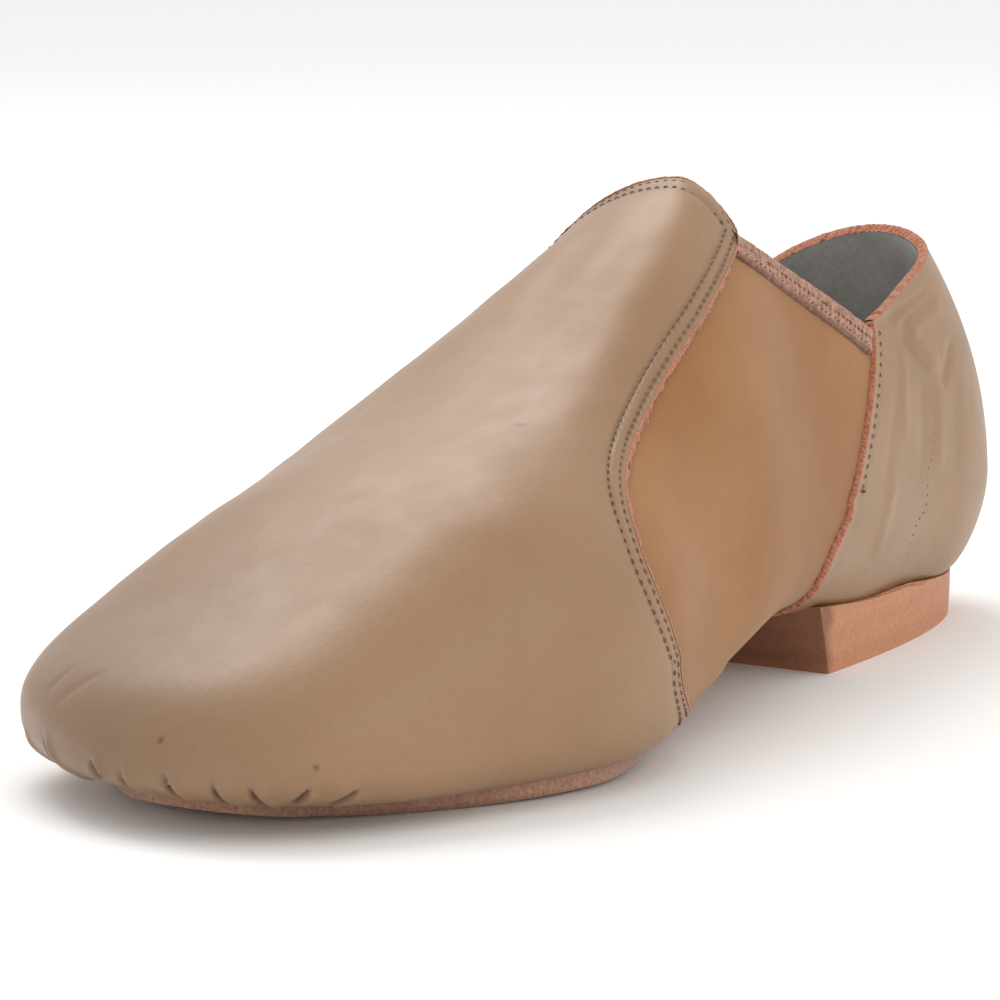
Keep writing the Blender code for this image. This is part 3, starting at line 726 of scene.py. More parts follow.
def sueded_split():
    """Sueded split leather of the sole patch: pinkish nap, with painted shade low down next to the floor."""
    made, tree, shader, place = blank("sueded split leather", 0.97, Sheen_Weight=0.4, Sheen_Roughness=0.5)
    nap = noise(tree, place, 0.6, 4, 0.7)
    tone = noise(tree, place, 9, 3)
    base = mix(tree, span(tree, nap, 0.35, 0.65), linear("A0735B"), linear("CBA18A"))
    base = mix(tree, span(tree, tone, 0.3, 0.7, 0, 0.4), base, linear("A5785F"))
    # painted shade low down, next to the floor
    base = mix(tree, attribute(tree, "dark"), base, linear("4E3226"))
    tree.links.new(base, shader.inputs["Base Color"])
    roughen(tree, shader, nap, 0.25, 0.8)
    return made


def heel_leather():
    """Heel of pressed leather board, cut and stained: warm tan sides with faint layers, a darker breast."""
    made, tree, shader, place = blank("pressed leather-board heel", 0.62, IOR=1.45)
    grain = noise(tree, place, 0.8, 4, 0.6)
    layers = add(tree, "TexWave", {"Vector": place, "Scale": 1000 / 2.4 / 6.283, "Distortion": 1.5,
                                   "Detail": 2.0}, bands_direction="Z").outputs["Fac"]
    base = mix(tree, span(tree, grain, 0.3, 0.7), linear("BA7F5D"), linear("CE9370"))
    base = mix(tree, span(tree, layers, 0, 1, 0, 0.12), base, linear("9C6447"))
    base = mix(tree, attribute(tree, "dark"), base, linear("5F3B2B"))
    tree.links.new(base, shader.inputs["Base Color"])
    soft = roughen(tree, shader, grain, 0.08, 0.5)
    roughen(tree, shader, noise(tree, place, 0.3, 2), 0.03, 0.4, soft)
    return made


def floor_paint():
    """Painted studio floor: matte, almost white."""
    made, _, shader, _ = blank("matte white studio floor", 0.9)
    shader.inputs["Base Color"].default_value = linear("FCFCFB")
    return made


# Pieces of the upper

def vamp_grid(outline, rows, columns):
    """Shares and angles over the vamp. A column that ends on the long sloping edge starts nearer the ridge
    and turns outwards by a power of the way along, so that no two cross; shares grow by a power too, so
    that the rounded toe is finely divided."""
    at_edge, angle_edge = resample(*outline, columns)
    way = np.linspace(0, 1, rows)[:, None]
    reach = smoothstep((at_edge - 0.33) / 0.21) * (np.abs(angle_edge) < math.radians(85))
    start = angle_edge * (1 - 0.57 * reach)
    blend = way ** 2.2
    at = at_edge * way ** 1.5
    angle = start * (1 - blend) + angle_edge * blend
    return at, angle


def vamp_creases(points, at):
    """Height changes in metres: long soft hollows of the worn instep, and fullness over the toes."""
    height = 0.16 * MM * ripple(points, 0.034, 3) * smoothstep((at - 0.05) / 0.1)
    height = height + 0.06 * MM * ripple(points, 0.011, 5) * smoothstep((at - 0.08) / 0.1)
    for head, foot, depth, width in VAMP_FOLDS:
        along, beside, off = from_segment(points, head, foot)
        near = smoothstep((along + 0.25) / 0.5) * smoothstep((1.25 - along) / 0.5) * bump(off, 12 * MM)
        height = height + depth * MM * near * bump(beside, width * MM)
    return height


def from_segment(points, head, foot):
    """Each point's place along a short line as a share of it, its distance beside the line, and its height
    off it along the surface normal at the line's middle."""
    ends = np.array([
        last(np.array(share), np.radians(np.array(degrees, float))) for share, degrees in (head, foot)
    ])
    middle = (np.array(head) + np.array(foot)) / 2
    normal = normal_at(middle[:1], np.radians(middle[1:]))[0]
    reach = np.linalg.norm(ends[1] - ends[0])
    line = (ends[1] - ends[0]) / reach
    cross = unit(np.cross(normal, line))
    offset = points - ends[0]
    return (offset @ line) / reach, offset @ cross, offset @ normal


def pleat_heights(points):
    """Short folds where the leather is gathered under the toe: a slit that deepens towards the sole, with a
    raised lip beside it, and painted shade in the slit."""
    height = np.zeros(points.shape[:2])
    dark = np.zeros(points.shape[:2])
    for head, foot in PLEATS:
        along, beside, off = from_segment(points, head, foot)
        near = smoothstep((along + 0.25) / 0.5) * smoothstep((1.3 - along) / 0.3) * bump(off, 5 * MM)
        slit = bump(beside, (0.30 + 0.35 * np.clip(along, 0, 1)) * MM)
        height += near * (-0.95 * MM * slit + 0.55 * MM * bump(beside - 1.1 * MM, 0.9 * MM))
        height += near * 0.25 * MM * bump(beside + 1.3 * MM, 1.1 * MM)
        # painted shade in the slit's core
        dark += near * slit * 0.9
    return height, dark


def painted_toe_shade(points, at):
    """Painted shade at the toe, where the leather faces away from the light, fading out along the shoe and
    towards the inner side, over a slight even darkening of the whole vamp.
    """
    return 0.03 + TOE_PAINTED_SHADE * smoothstep(1 - at / TOE_SHADE_END) * smoothstep(0.75 - points[..., 0] / 0.05)


def build_vamp(outline, leather):
    """The last's surface with creases and pleats added along its normals, and a groove under each row of
    stitches, a bell across the distance from the cut edge."""
    at, angle = vamp_grid(outline, 190, 300)
    points = last(at, angle)
    normal = normal_at(at, angle)
    normal[0] = unit(normal[0].mean(axis=0))
    distance = nearest(points, last(*outline)[::2])
    height = vamp_creases(points, at)
    for place, depth in ((OUTER_ROW, 0.16), (INNER_ROW, 0.22)):
        height -= depth * MM * bump(distance - place, 0.45 * MM)
    height += 0.12 * MM * bump(distance - (OUTER_ROW + INNER_ROW) / 2, 0.7 * MM)
    height *= smoothstep(distance / (1.2 * MM)) * 0.9 + 0.1
    folds, dark = pleat_heights(points)
    height += folds
    # painted shade in the grooves under both rows of stitches
    dark = dark + 0.24 * bump(distance - INNER_ROW, 0.45 * MM) + 0.14 * bump(distance - OUTER_ROW, 0.4 * MM)
    for share, degrees in SPECKS:
        spot = last(np.array(share), np.array(math.radians(degrees)))
        dark += 0.8 * bump(np.linalg.norm(points - spot, axis=-1), 0.42 * MM)
    # painted shade at the toe, over a slight even darkening
    dark += painted_toe_shade(points, at)
    # painted highlight along the cut edge
    pale = 0.35 * bump(distance, 0.5 * MM)
    points = points + normal * height[..., None]
    made = sheet("vamp", points, normal, leather, {"dark": np.clip(dark, 0, 1), "pale": pale})
    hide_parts("upper")
    return made


def gore_grid(side, rows, columns, overlap):
    """Shares and angles between the vamp's and the quarter's edges, from the collar to under the foot."""
    at_v, angle_v = resample(*seam(VAMP_EDGE_MEDIAL, side), columns)
    at_q, angle_q = resample(*seam(QUARTER_EDGE, side), columns)
    across = np.linspace(-overlap, 1 + overlap, rows)[:, None]
    at = at_v + (at_q - at_v) * across
    angle = angle_v + (angle_q - angle_v) * across
    top = collar_angle(at[:, 0], side)
    fade = np.clip(1 - np.linspace(0, 1, columns) / 0.3, 0, 1) ** 2
    return at, angle + (top - angle[:, 0])[:, None] * fade


def joined(side_grids):
    """Both sides as one grid: down the inner side, and up the outer side."""
    (at_in, angle_in), (at_out, angle_out) = side_grids
    return (
        np.concatenate([at_in, at_out[:, -2::-1]], axis=1),
        np.concatenate([angle_in, angle_out[:, -2::-1]], axis=1),
    )


def build_gore(fabric):
    """The last's surface one panel step lower, a little fuller away from its seams, and level with the
    leather where the sole patch is put on."""
    at, angle = joined([gore_grid(side, 60, 110, 0.02) for side in (1, -1)])
    points = last(at, angle)
    normal = normal_at(at, angle)
    edges = [last(*seam(table, side)) for table in (VAMP_EDGE_MEDIAL, QUARTER_EDGE) for side in (1, -1)]
    distance = nearest(points, np.concatenate(edges)[::2])
    height = -(PANEL_STEP + 0.15 * MM) + 0.28 * MM * smoothstep(distance / (9 * MM))
    height = height + 0.08 * MM * ripple(points, 0.034, 8)
    flush = smoothstep((np.abs(np.degrees(angle)) - 108) / 20) * smoothstep((0.452 - at) / 0.02)
    height = height + (0.6 * MM) * flush
    # painted shade along the seams, where the gore lies under the leather's edges
    dark = 0.55 * bump(distance, 0.7 * MM)
    points = points + normal * height[..., None]
    return sheet("gore", points, normal, fabric, {"dark": dark})


def quarter_grid(side, rows, columns):
    """Shares and angles of half the quarter, from its front edge to the back and from the collar to under
    the foot. Steps towards the back shrink by a power, because the heel rounds in there, and those below
    the widest line mix even ones with ones that follow the sharp turn into the seat."""
    at_q, angle_q = seam(QUARTER_EDGE, side)
    order = np.argsort(np.abs(angle_q))
    back = 1 - (1 - np.linspace(0, 1, columns)[None, :]) ** 1.8
    upper_rows = rows * 2 // 5
    level = np.linspace(0, 1, (rows - upper_rows) // 2 + 1)[1:]
    even = np.linspace(0, 1, rows - upper_rows - len(level) + 2)[1:-1]
    lower = np.sort(np.concatenate([np.pi - np.arccos(level ** 3.5), math.pi / 2 * (1 + even)]))[:, None]
    down = np.linspace(0, 1, upper_rows, endpoint=False)[:, None]
    angle = np.full((rows, columns), side * 2.0)
    for _ in range(12):
        front = np.interp(np.abs(angle), np.abs(angle_q[order]), at_q[order])
        at = front + (1 - front) * back
        top = collar_angle(at[0], side)
        angle = top + (side * math.pi / 2 - top) * down
        angle = np.concatenate([angle, side * lower + 0 * top], axis=0)
    return at, angle


def quarter_folds(points):
    """Heights on the inner side: creases beside the collar, and soft puckers behind the stitched
    edge. Each is a bell across its line that fades in and out at both ends."""
    height = np.zeros(points.shape[:2])
    for head, foot, depth, width in QUARTER_FOLDS:
        along, beside, off = from_segment(points, head, foot)
        near = smoothstep((along + 0.15) / 0.3) * smoothstep((1.15 - along) / 0.3) * bump(off, 6 * MM)
        height += depth * MM * near * bump(beside, width * MM)
    return height


def quarter_surface(rows, columns):
    """Points and normals of both halves of the quarter as one grid. Where they meet at the back, the normal
    is the mean of the two, without its sideways part."""
    halves = [quarter_grid(side, rows, columns) for side in (1, -1)]
    inner, outer = (last(*half) for half in halves)
    inner_normal, outer_normal = (normal_at(*half) for half in halves)
    inner_normal[:, -1] = unit((inner_normal[:, -1] + outer_normal[:, -1]) * [0, 1, 1])
    points = np.concatenate([inner, outer[:, -2::-1]], axis=1)
    return points, np.concatenate([inner_normal, outer_normal[:, -2::-1]], axis=1)


def build_quarter(leather):
    """The last's surface with folds and slow waves, a groove under the stitches, and its height held at the
    cut edges."""
    points, normal = quarter_surface(120, 110)
    lines = [last(*seam(QUARTER_EDGE, side)) for side in (1, -1)]
    distance = nearest(points, np.concatenate(lines)[::2])
    height = quarter_folds(points) + 0.15 * MM * ripple(points, 0.026, 11)
    height -= 0.2 * MM * bump(distance - QUARTER_ROW, 0.5 * MM)
    height *= smoothstep(distance / (1.2 * MM)) * 0.9 + 0.1
    below = nearest(points, points[0])
    height *= smoothstep(below / (1.5 * MM)) * 0.8 + 0.2
    points = points + normal * height[..., None]
    # painted highlight along the cut edges and along the collar's rim
    pale = 0.3 * bump(distance, 0.6 * MM) + 0.25 * bump(below, 0.8 * MM)
    return sheet("quarter", points, normal, leather, {"pale": pale})


def build_lining(look):
    """The inside of the wall behind each panel, facing into the shoe."""
    at, angle = vamp_grid(vamp_outline(), 60, 120)
    normal = normal_at(at, angle)
    normal[0] = unit(normal[0].mean(axis=0))
    sheet("lining_vamp", last(at, angle) - normal * WALL, -normal, look)
    at, angle = joined([gore_grid(side, 24, 50, 0.03) for side in (1, -1)])
    normal = normal_at(at, angle)
    sheet("lining_gore", last(at, angle) - normal * WALL, -normal, look)
    points, normal = quarter_surface(50, 50)
    sheet("lining_quarter", points - normal * WALL, -normal, look)


# Edges, stitches and fibres

def cut_edge(name, points, across, normal, depth, look, bulge=0.25, seed=1, slant=0.0):
    """A cut edge: a rounded strip from the leather's face down through its thickness, with a worn, uneven
    outline. The depth may vary along it, and the strip may slant outwards on its way down."""
    depth = np.broadcast_to(np.asarray(depth, float), (len(points),))
    steps = np.linspace(0, 1, 9)
    rough = 0.17 * MM * ripple(points, 0.0016, seed) + 0.13 * MM * ripple(points, 0.0006, seed + 1)
    profile = np.zeros((len(steps) + 1, len(points), 2))
    profile[0, :, 0] = -0.35 * MM
    profile[0, :, 1] = 0.05 * MM
    for i, s in enumerate(steps):
        round_out = math.sin(s * math.pi) ** 0.6
        profile[i + 1, :, 0] = bulge * MM * round_out + slant * MM * s + rough * (0.3 + round_out)
        profile[i + 1, :, 1] = 0.10 * MM * (1 - s) - depth * s + 0.3 * rough
    grid = points[None] + across[None] * profile[..., :1] + normal[None] * profile[..., 1:]
    outward = np.broadcast_to(across * 0.7 + normal * 0.7, grid.shape)
    return sheet(name, grid, outward, look)


# The three corners round a fibre
THIRDS = (0, 2.094, 4.189)


def fibres(name, points, across, normal, count, look, seed, length=0.55):
    """Loose fibres on a cut edge: thin bent three-sided spikes at random places and leanings."""
    random = np.random.default_rng(seed)
    k = random.integers(1, len(points) - 1, count)
    forward = unit(np.gradient(points, axis=0))[k]
    outwards = across[k] * random.uniform(0.4, 1.0, (count, 1))
    sideways = forward * random.normal(0, 0.6, (count, 1))
    direction = unit(outwards + sideways + normal[k] * random.normal(0.15, 0.35, (count, 1)))
    bend = unit(np.cross(direction, random.normal(size=(count, 3))))
    size = random.uniform(0.4, 1.0, (count, 1)) * length * MM
    root = points[k] + across[k] * 0.1 * MM - normal[k] * random.uniform(0.0, 0.6, (count, 1)) * MM
    other = np.cross(direction, bend)
    rings = []
    for share, width in ((0, 0.042), (0.55, 0.030)):
        centre = root + direction * size * share + bend * size * 0.35 * share ** 2
        for turn in THIRDS:
            rings.append(centre + (bend * math.cos(turn) + other * math.sin(turn)) * width * MM)
    rings.append(root + direction * size + bend * size * 0.35)
    points = np.stack(rings, axis=1).reshape(-1, 3)
    base = np.array([(0, 1, 4), (0, 4, 3), (1, 2, 5), (1, 5, 4), (2, 0, 3), (2, 3, 5), (3, 4, 6), (4, 5, 6),
                     (5, 3, 6), (0, 2, 1)])
    faces = (base[None] + 7 * np.arange(count)[:, None, None]).reshape(-1, 3)
    return make_mesh(name, points, faces, look, merge=False)


def stitches(name, at, angle, pitch, length, look, lift=-0.04, radius=0.115):
    """A row of stitches that rise in their middle and sink at both ends, evenly spaced along a line."""
    way = travelled(last(at, angle))
    count = int(way[-1] / (pitch * MM))
    even = (np.arange(count) + 0.5) * pitch * MM
    place = np.interp(even, way, at), np.interp(even, way, angle)
    fine = resample(at, angle, 2000)
    points, forward, across, normal = curve_frame(*fine)
    k = np.clip(np.searchsorted(travelled(points), even), 0, len(points) - 1)
    return threads(name, last(*place), forward[k], across[k], normal[k], length, look, lift, radius)


def threads(name, centre, forward, across, normal, length, look, lift, radius):
    """Short six-sided threads at the given places, one along each forward direction."""
    count = len(centre)
    rings = []
    for share, rise, girth in ((-0.5, -0.22, 0.5), (-0.28, 0.0, 1.0), (0, 0.06, 1.05), (0.28, 0.0, 1.0),
                               (0.5, -0.22, 0.5)):
        middle = centre + forward * share * length * MM + normal * (rise + lift) * MM
        for turn in np.arange(6) * math.pi / 3:
            out = across * math.cos(turn) + normal * math.sin(turn)
            rings.append(middle + out * radius * girth * MM)
    points = np.stack(rings, axis=1).reshape(-1, 3)
    quads = grid_faces(5, 6, wrap=True)
    caps = np.array([(0, 1, 2, 3), (0, 3, 4, 5), (27, 26, 25, 24), (29, 28, 27, 24)])
    base = np.concatenate([quads[:, ::-1], caps[:, ::-1]])
    faces = (base[None] + 30 * np.arange(count)[:, None, None]).reshape(-1, 4)
    return make_mesh(name, points, faces, look, merge=False)


# Sole, heel, insole and bindings

def plan_outline(table, count):
    """Stations along the sole outline, with the section's middle and half width there."""
    rows = np.array(table)
    spread = (1 - np.cos(np.linspace(0, math.pi / 2, count))) ** 0.75
    at = rows[0, 0] + (rows[-1, 0] - rows[0, 0]) * spread
    share = soften(np.interp(at, rows[:, 0], rows[:, 1]), 2)
    inner, outer = section_values(at)[:2]
    return (at - 0.5) * LENGTH, (inner + outer) / 2, share * (inner - outer) / 2


def plan_grid(y, middle, half, columns):
    """A grid across a plan outline, its columns closer together near both edges."""
    across = np.sin(np.linspace(-1, 1, columns) * math.pi / 2)
    return middle[:, None] + half[:, None] * across, np.repeat(y[:, None], columns, axis=1)


def block(name, top, bottom, look, attributes=None, walls=4, bulge=0.0):
    """A closed solid between two grids, with its walls divided into rows and rounded out by a sine."""
    rows, columns = top.shape[:2]
    count = rows * columns
    border = np.concatenate([
        np.arange(columns), np.arange(1, rows) * columns + columns - 1,
        (rows - 1) * columns + np.arange(columns - 2, -1, -1), np.arange(rows - 2, 0, -1) * columns,
    ])
    flat_top, flat_bottom = top.reshape(-1, 3), bottom.reshape(-1, 3)
    rim_top, rim_bottom = flat_top[border], flat_bottom[border]
    forward = unit(np.roll(rim_top, -1, axis=0) - np.roll(rim_top, 1, axis=0))
    out = np.cross(forward, [0, 0, 1.0])
    out *= np.sign(((rim_top - rim_top.mean(axis=0)) * out).sum())
    rings = []
    for i in range(1, walls):
        share = i / walls
        rings.append(rim_top * (1 - share) + rim_bottom * share + out * bulge * math.sin(share * math.pi))
    points = np.concatenate([flat_top, flat_bottom] + rings)
    start = [border] + [2 * count + i * len(border) + np.arange(len(border)) for i in range(walls - 1)]
    start.append(border + count)
    faces = [grid_faces(rows, columns), grid_faces(rows, columns)[:, ::-1] + count]
    for a, b in zip(start[:-1], start[1:]):
        faces.append(np.stack([np.roll(a, -1), a, b, np.roll(b, -1)], -1))
    values = {key: value_at(points) for key, value_at in (attributes or {}).items()}
    made = make_mesh(name, points, np.concatenate(faces), look, values)
    work = bmesh.new()
    work.from_mesh(made.data)
    bmesh.ops.recalc_face_normals(work, faces=work.faces)
    if work.calc_volume(signed=True) < 0:
        bmesh.ops.reverse_faces(work, faces=work.faces)
    work.to_mesh(made.data)
    work.free()
    made.data.shade_smooth()
    made.data.set_sharp_from_angle(angle=math.radians(38))
    return made


def rounded(made, width):
    """A small live bevel on the sharp edges."""
    bevel = made.modifiers.new("worn corners", "BEVEL")
    bevel.width = width
    bevel.segments = 3
    bevel.limit_method = "ANGLE"
    bevel.angle_limit = math.radians(38)
    bevel.harden_normals = False


def build_sole(look):
    """The sole patch: its upper side follows the upper's underside, and its lower side lies one thickness
    below it, but not under the floor nor under the spring of the toe."""
    y, middle, half = plan_outline(SOLE_OUTLINE, 70)
    x, y = plan_grid(y, middle, half, 61)
    top = underside(x, y) - 0.02 * MM
    bottom = np.maximum(top - SOLE_THICKNESS - SOLE_EDGE_LIFT, 0)
    at = y / LENGTH + 0.5
    bottom = np.maximum(bottom, TOE_SPRING * np.clip((SPRING_END - at) / SPRING_SPAN, 0, 1) ** 1.5)
    bottom = np.minimum(bottom, top - SOLE_THICKNESS / 3)

    def painted_floor_shade(points):
        """Painted shade where the suede meets the floor, fading out within about a millimetre above it."""
        return np.clip(0.6 - points[:, 2] / (2.2 * MM), 0, 0.4)

    made = block("sole_patch", np.stack([x, y, top], -1), np.stack([x, y, bottom], -1), look, {"dark": painted_floor_shade},
                 6, 0.15 * MM)
    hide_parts("outsole_forefoot")
    return made


def heel_outline(front, taper, count):
    """Stations from the breast to the back and half widths there: a quarter of a superellipse."""
    back = LENGTH / 2 - HEEL_SETBACK - taper
    turn = np.linspace(0, math.pi / 2, count)
    y = front + (back - front) * np.sin(turn) ** BLOCK_BACK_POWER
    return y, (HEEL_WIDTH / 2 - taper) * np.cos(turn) ** BLOCK_SIDE_POWER


def build_heel(look):
    """The heel block between its outline on the floor, drawn in all round and raked at the breast, and the
    upper's underside, whose edge it follows up by the rim's height."""
    front = LENGTH / 2 - HEEL_SETBACK - HEEL_LENGTH
    grids = []
    for y, half in (heel_outline(front, 0, 60), heel_outline(front + BREAST_RAKE, HEEL_TAPER, 60)):
        grids.append(plan_grid(y, np.zeros_like(y), half, 41))
    (x, y), (floor_x, floor_y) = grids
    seat = section_values(np.minimum(y / LENGTH + 0.5, 1))[3]
    rim = HEEL_RIM * np.clip((LENGTH / 2 - BACK_TUCK * 1.3 - y) / HEEL_CAP, 0, 1)
    top = np.stack([x, y, np.minimum(underside(x, y), seat + rim)], -1)
    bottom = np.stack([floor_x, floor_y, np.zeros_like(floor_x)], -1)

    def breast(points):
        """Darker on the breast, up to its edges."""
        return smoothstep((front + BREAST_RAKE * 1.05 - points[:, 1]) / (0.4 * MM)) * 0.6

    made = block("heel_block", top, bottom, look, {"dark": breast}, 5, 0.1 * MM)
    rounded(made, 0.35 * MM)
    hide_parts("heel")
    return made


def build_insole(look):
    """The insole lies on the wall's inner side, a share of the section wide and rounded at both ends by a
    root of the distance from them."""
    at = np.linspace(INSOLE_START, INSOLE_END, 110)
    inner, outer = section_values(at)[:2]
    share = soften(INSOLE_SHARE + INSOLE_SEAT_MORE * np.clip((at - 0.6) / 0.1, 0, 1), 3)
    ends = np.clip(np.minimum((at - 0.045) / 0.06, (0.968 - at) / 0.05), 0, 1) ** 0.5
    taper = seat_taper(at, HEEL_HEIGHT)
    half = (share * taper * (inner - outer) / 2 - WALL) * ends
    x, y = plan_grid((at - 0.5) * LENGTH, taper * (inner + outer) / 2, half, 31)
    bottom = underside(x, y) + WALL + 0.1 * MM
    top = bottom + INSOLE_THICKNESS + 0.2 * MM
    top = top + 0.15 * MM * ripple(np.stack([x, y, top], -1), 0.024, 21)
    made = block("insole_sock", np.stack([x, y, top], -1), np.stack([x, y, bottom], -1), look,
                 walls=3, bulge=0.2 * MM)
    rounded(made, 0.4 * MM)
    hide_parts("insole")
    return made


def gore_top(side, count, start=-0.07, end=1.09):
    """The gore's top edge with level outward and downward directions, as the solid bindings have them."""
    share = np.linspace(start, end, count)
    y = COLLAR[3, 0] + (COLLAR[4, 0] - COLLAR[3, 0]) * share
    z = COLLAR[3, 1] + (COLLAR[4, 1] - COLLAR[3, 1]) * share
    at = y / LENGTH + 0.5
    angle = np.radians(np.linspace(1, 90, 500))
    ring = last(at[:, None], side * angle[None])
    k = np.argmax(ring[..., 2] < z[:, None], axis=1)
    row = np.arange(count)
    high, low = ring[row, k - 1], ring[row, k]
    share = ((high[:, 2] - z) / (high[:, 2] - low[:, 2]))[:, None]
    points = high + (low - high) * share
    lower = np.argmax(np.linalg.norm(ring - points[:, None], axis=-1) * (ring[..., 2] < z[:, None])
                      > BINDING_DEPTH * 1.2, axis=1)
    down = ring[row, lower] - points
    along = unit(np.gradient(points, axis=0))
    down = unit(down - along * (down * along).sum(-1, keepdims=True))
    out = np.cross(along, down)
    out = unit(out * np.sign(out[:, :1] * side))
    level = np.array([side, 0, 0]) / np.abs(out[:, :1])
    return points, level, down


def build_binding(name, side, look, yarn, node):
    """Folded tape over the gore's top edge: a rounded U whose legs lie on both faces of the wall, with an
    uneven brushed face and a line of painted shade along its lower edge."""
    points, level, down = gore_top(side, 170)
    face = -PANEL_STEP + 0.02 * MM
    skin = 0.95 * MM
    back = -WALL - 0.1 * MM
    depth = 4.3 * MM
    profile = [(face, depth), (face + 0.45 * skin, depth + 0.1 * MM), (face + 0.9 * skin, depth - 0.5 * MM)]
    profile += [(face + skin, depth * k) for k in (0.7, 0.55, 0.4, 0.25, 0.1)]
    turn = np.linspace(0.1, math.pi - 0.1, 9)
    middle = (face + skin + back - skin * 0.6) / 2
    half = (face + skin - back + skin * 0.6) / 2
    profile += [(middle + half * math.cos(a), -0.75 * MM * math.sin(a)) for a in turn]
    profile += [(back - 0.6 * skin, depth * k) for k in (0.2, 0.5, 0.8, 1.0)] + [(back, depth)]
    profile += [(back, depth * 0.05), (face, depth * 0.05)]
    profile = np.array(profile)
    grid = np.repeat(profile[:, None, :], len(points), axis=1)
    rough = 0.14 * MM * ripple(points[None] + grid[..., 1:] * [0, 0, 1], 0.0022, 31)
    rough += 0.08 * MM * ripple(points[None] + grid[..., 1:] * [0, 0, 1], 0.0009, 32)
    grid[1:-3, :, 0] += (rough * np.sign(profile[:, :1] - middle))[1:-3]
    # painted shade along the outer face's lower edge
    lower = np.abs(profile[:, 1] - depth * 0.92) < 0.9 * MM
    dark = np.where(lower & (profile[:, 0] > middle), 0.55, 0.0)
    dark = np.concatenate([np.repeat(dark[None], len(points), axis=0).ravel(), [0, 0]])
    made = sweep(name, points, level, down, grid, look, {"dark": dark}, closed=True)
    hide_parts(node)
    way = np.arange(2.4 * MM, travelled(points)[-1] - 1.5 * MM, 1.5 * MM)
    k = np.searchsorted(travelled(points), way)
    forward, out = unit(np.gradient(points, axis=0))[k], unit(level[k])
    for row, place, turn in (("upper", 1.5, 0.55), ("lower", 2.9, -0.55)):
        lean = unit(forward + turn * down[k])
        centre = points[k] + level[k] * (face + skin + 0.02 * MM) + down[k] * place * MM
        aside = unit(np.cross(out, lean))
        threads(name + "_" + row + "_stitches", centre, lean, aside, out, 1.1, yarn, -0.03, 0.13)


# Camera and light

def camera_axes():
    """Right, up and backward directions of a level camera at the azimuth and elevation."""
    back = np.array([math.sin(AZIMUTH) * math.cos(ELEVATION), -math.cos(AZIMUTH) * math.cos(ELEVATION),
                     math.sin(ELEVATION)])
    right = np.array([math.cos(AZIMUTH), math.sin(AZIMUTH), 0])
    return right, np.cross(back, right), back


CAMERA_AXES = camera_axes()


def turned(axes, place):
    """A matrix that turns right, up and backward to the given axes and moves to the place."""
    matrix = np.eye(4)
    matrix[:3, :3] = np.stack(axes, -1)
    matrix[:3, 3] = place
    return Matrix(matrix.tolist())


def build_camera():
    """The camera of the picture, its focal length and centre turned from pixels into lens and shift."""
    data = bpy.data.cameras.new("camera")
    data.sensor_width = SENSOR_MM
    data.lens = FOCAL_PX * SENSOR_MM / PICTURE_PX
    data.shift_x = (PICTURE_PX / 2 - CENTRE_U_PX) / PICTURE_PX
    data.shift_y = (CENTRE_V_PX - PICTURE_PX / 2) / PICTURE_PX
    data.clip_start = 0.05
    data.clip_end = 20
    camera = bpy.data.objects.new("camera", data)
    camera.matrix_world = turned(CAMERA_AXES, TARGET + CAMERA_AXES[2] * DISTANCE)
    bpy.context.scene.collection.objects.link(camera)
    bpy.context.scene.camera = camera


def area_light(name, place, size, power, tint):
    """A square light that looks at the shoe, level on both sides."""
    data = bpy.data.lights.new(name, "AREA")
    data.shape = "RECTANGLE"
    data.size, data.size_y = size, size
    data.energy = power
    data.color = linear(tint)[:3]
    light = bpy.data.objects.new(name, data)
    back = unit(np.array(place, float) - np.array(LIGHT_AIM, float))
    right = unit(np.cross([0, 0, 1.0], back))
    light.matrix_world = turned((right, np.cross(back, right), back), place)
    bpy.context.scene.collection.objects.link(light)


def build_floor():
    """A pale level square under the shoe."""
    reach = FLOOR_REACH
    mesh = bpy.data.meshes.new("studio_floor")
    mesh.from_pydata([(-reach, -reach, 0), (reach, -reach, 0), (reach, reach, 0), (-reach, reach, 0)], [],
                     [(0, 1, 2, 3)])
    mesh.materials.append(floor_paint())
    floor = bpy.data.objects.new("studio_floor", mesh)
    bpy.context.scene.collection.objects.link(floor)


def build_studio():
    """A pale floor, a large soft light above and behind the instep, a weak one at the near side, and a pale
    world that lights everything evenly."""
    build_floor()
    right, _, back = CAMERA_AXES
    area_light("key", KEY_PLACE, KEY_SIZE, KEY_WATTS, KEY_TINT)
    fill_place = right * FILL_RIGHT + back * FILL_BACK + np.array([0, 0, FILL_UP])
    area_light("fill", fill_place, FILL_SIZE, FILL_WATTS, FILL_TINT)
    world = bpy.data.worlds.new("pale studio")
    world.use_nodes = True
    world.node_tree.nodes["Background"].inputs["Color"].default_value = linear("FFFFFF")
    world.node_tree.nodes["Background"].inputs["Strength"].default_value = WORLD_STRENGTH
    bpy.context.scene.world = world
    bpy.context.scene.view_settings.view_transform = "Standard"


# The edges and seams of the upper, and the whole shoe

def towards_back(across):
    """1 where the direction across a line points to the heel, and -1 where it points to the toe."""
    return 1 if across[100, 1] > 0 else -1


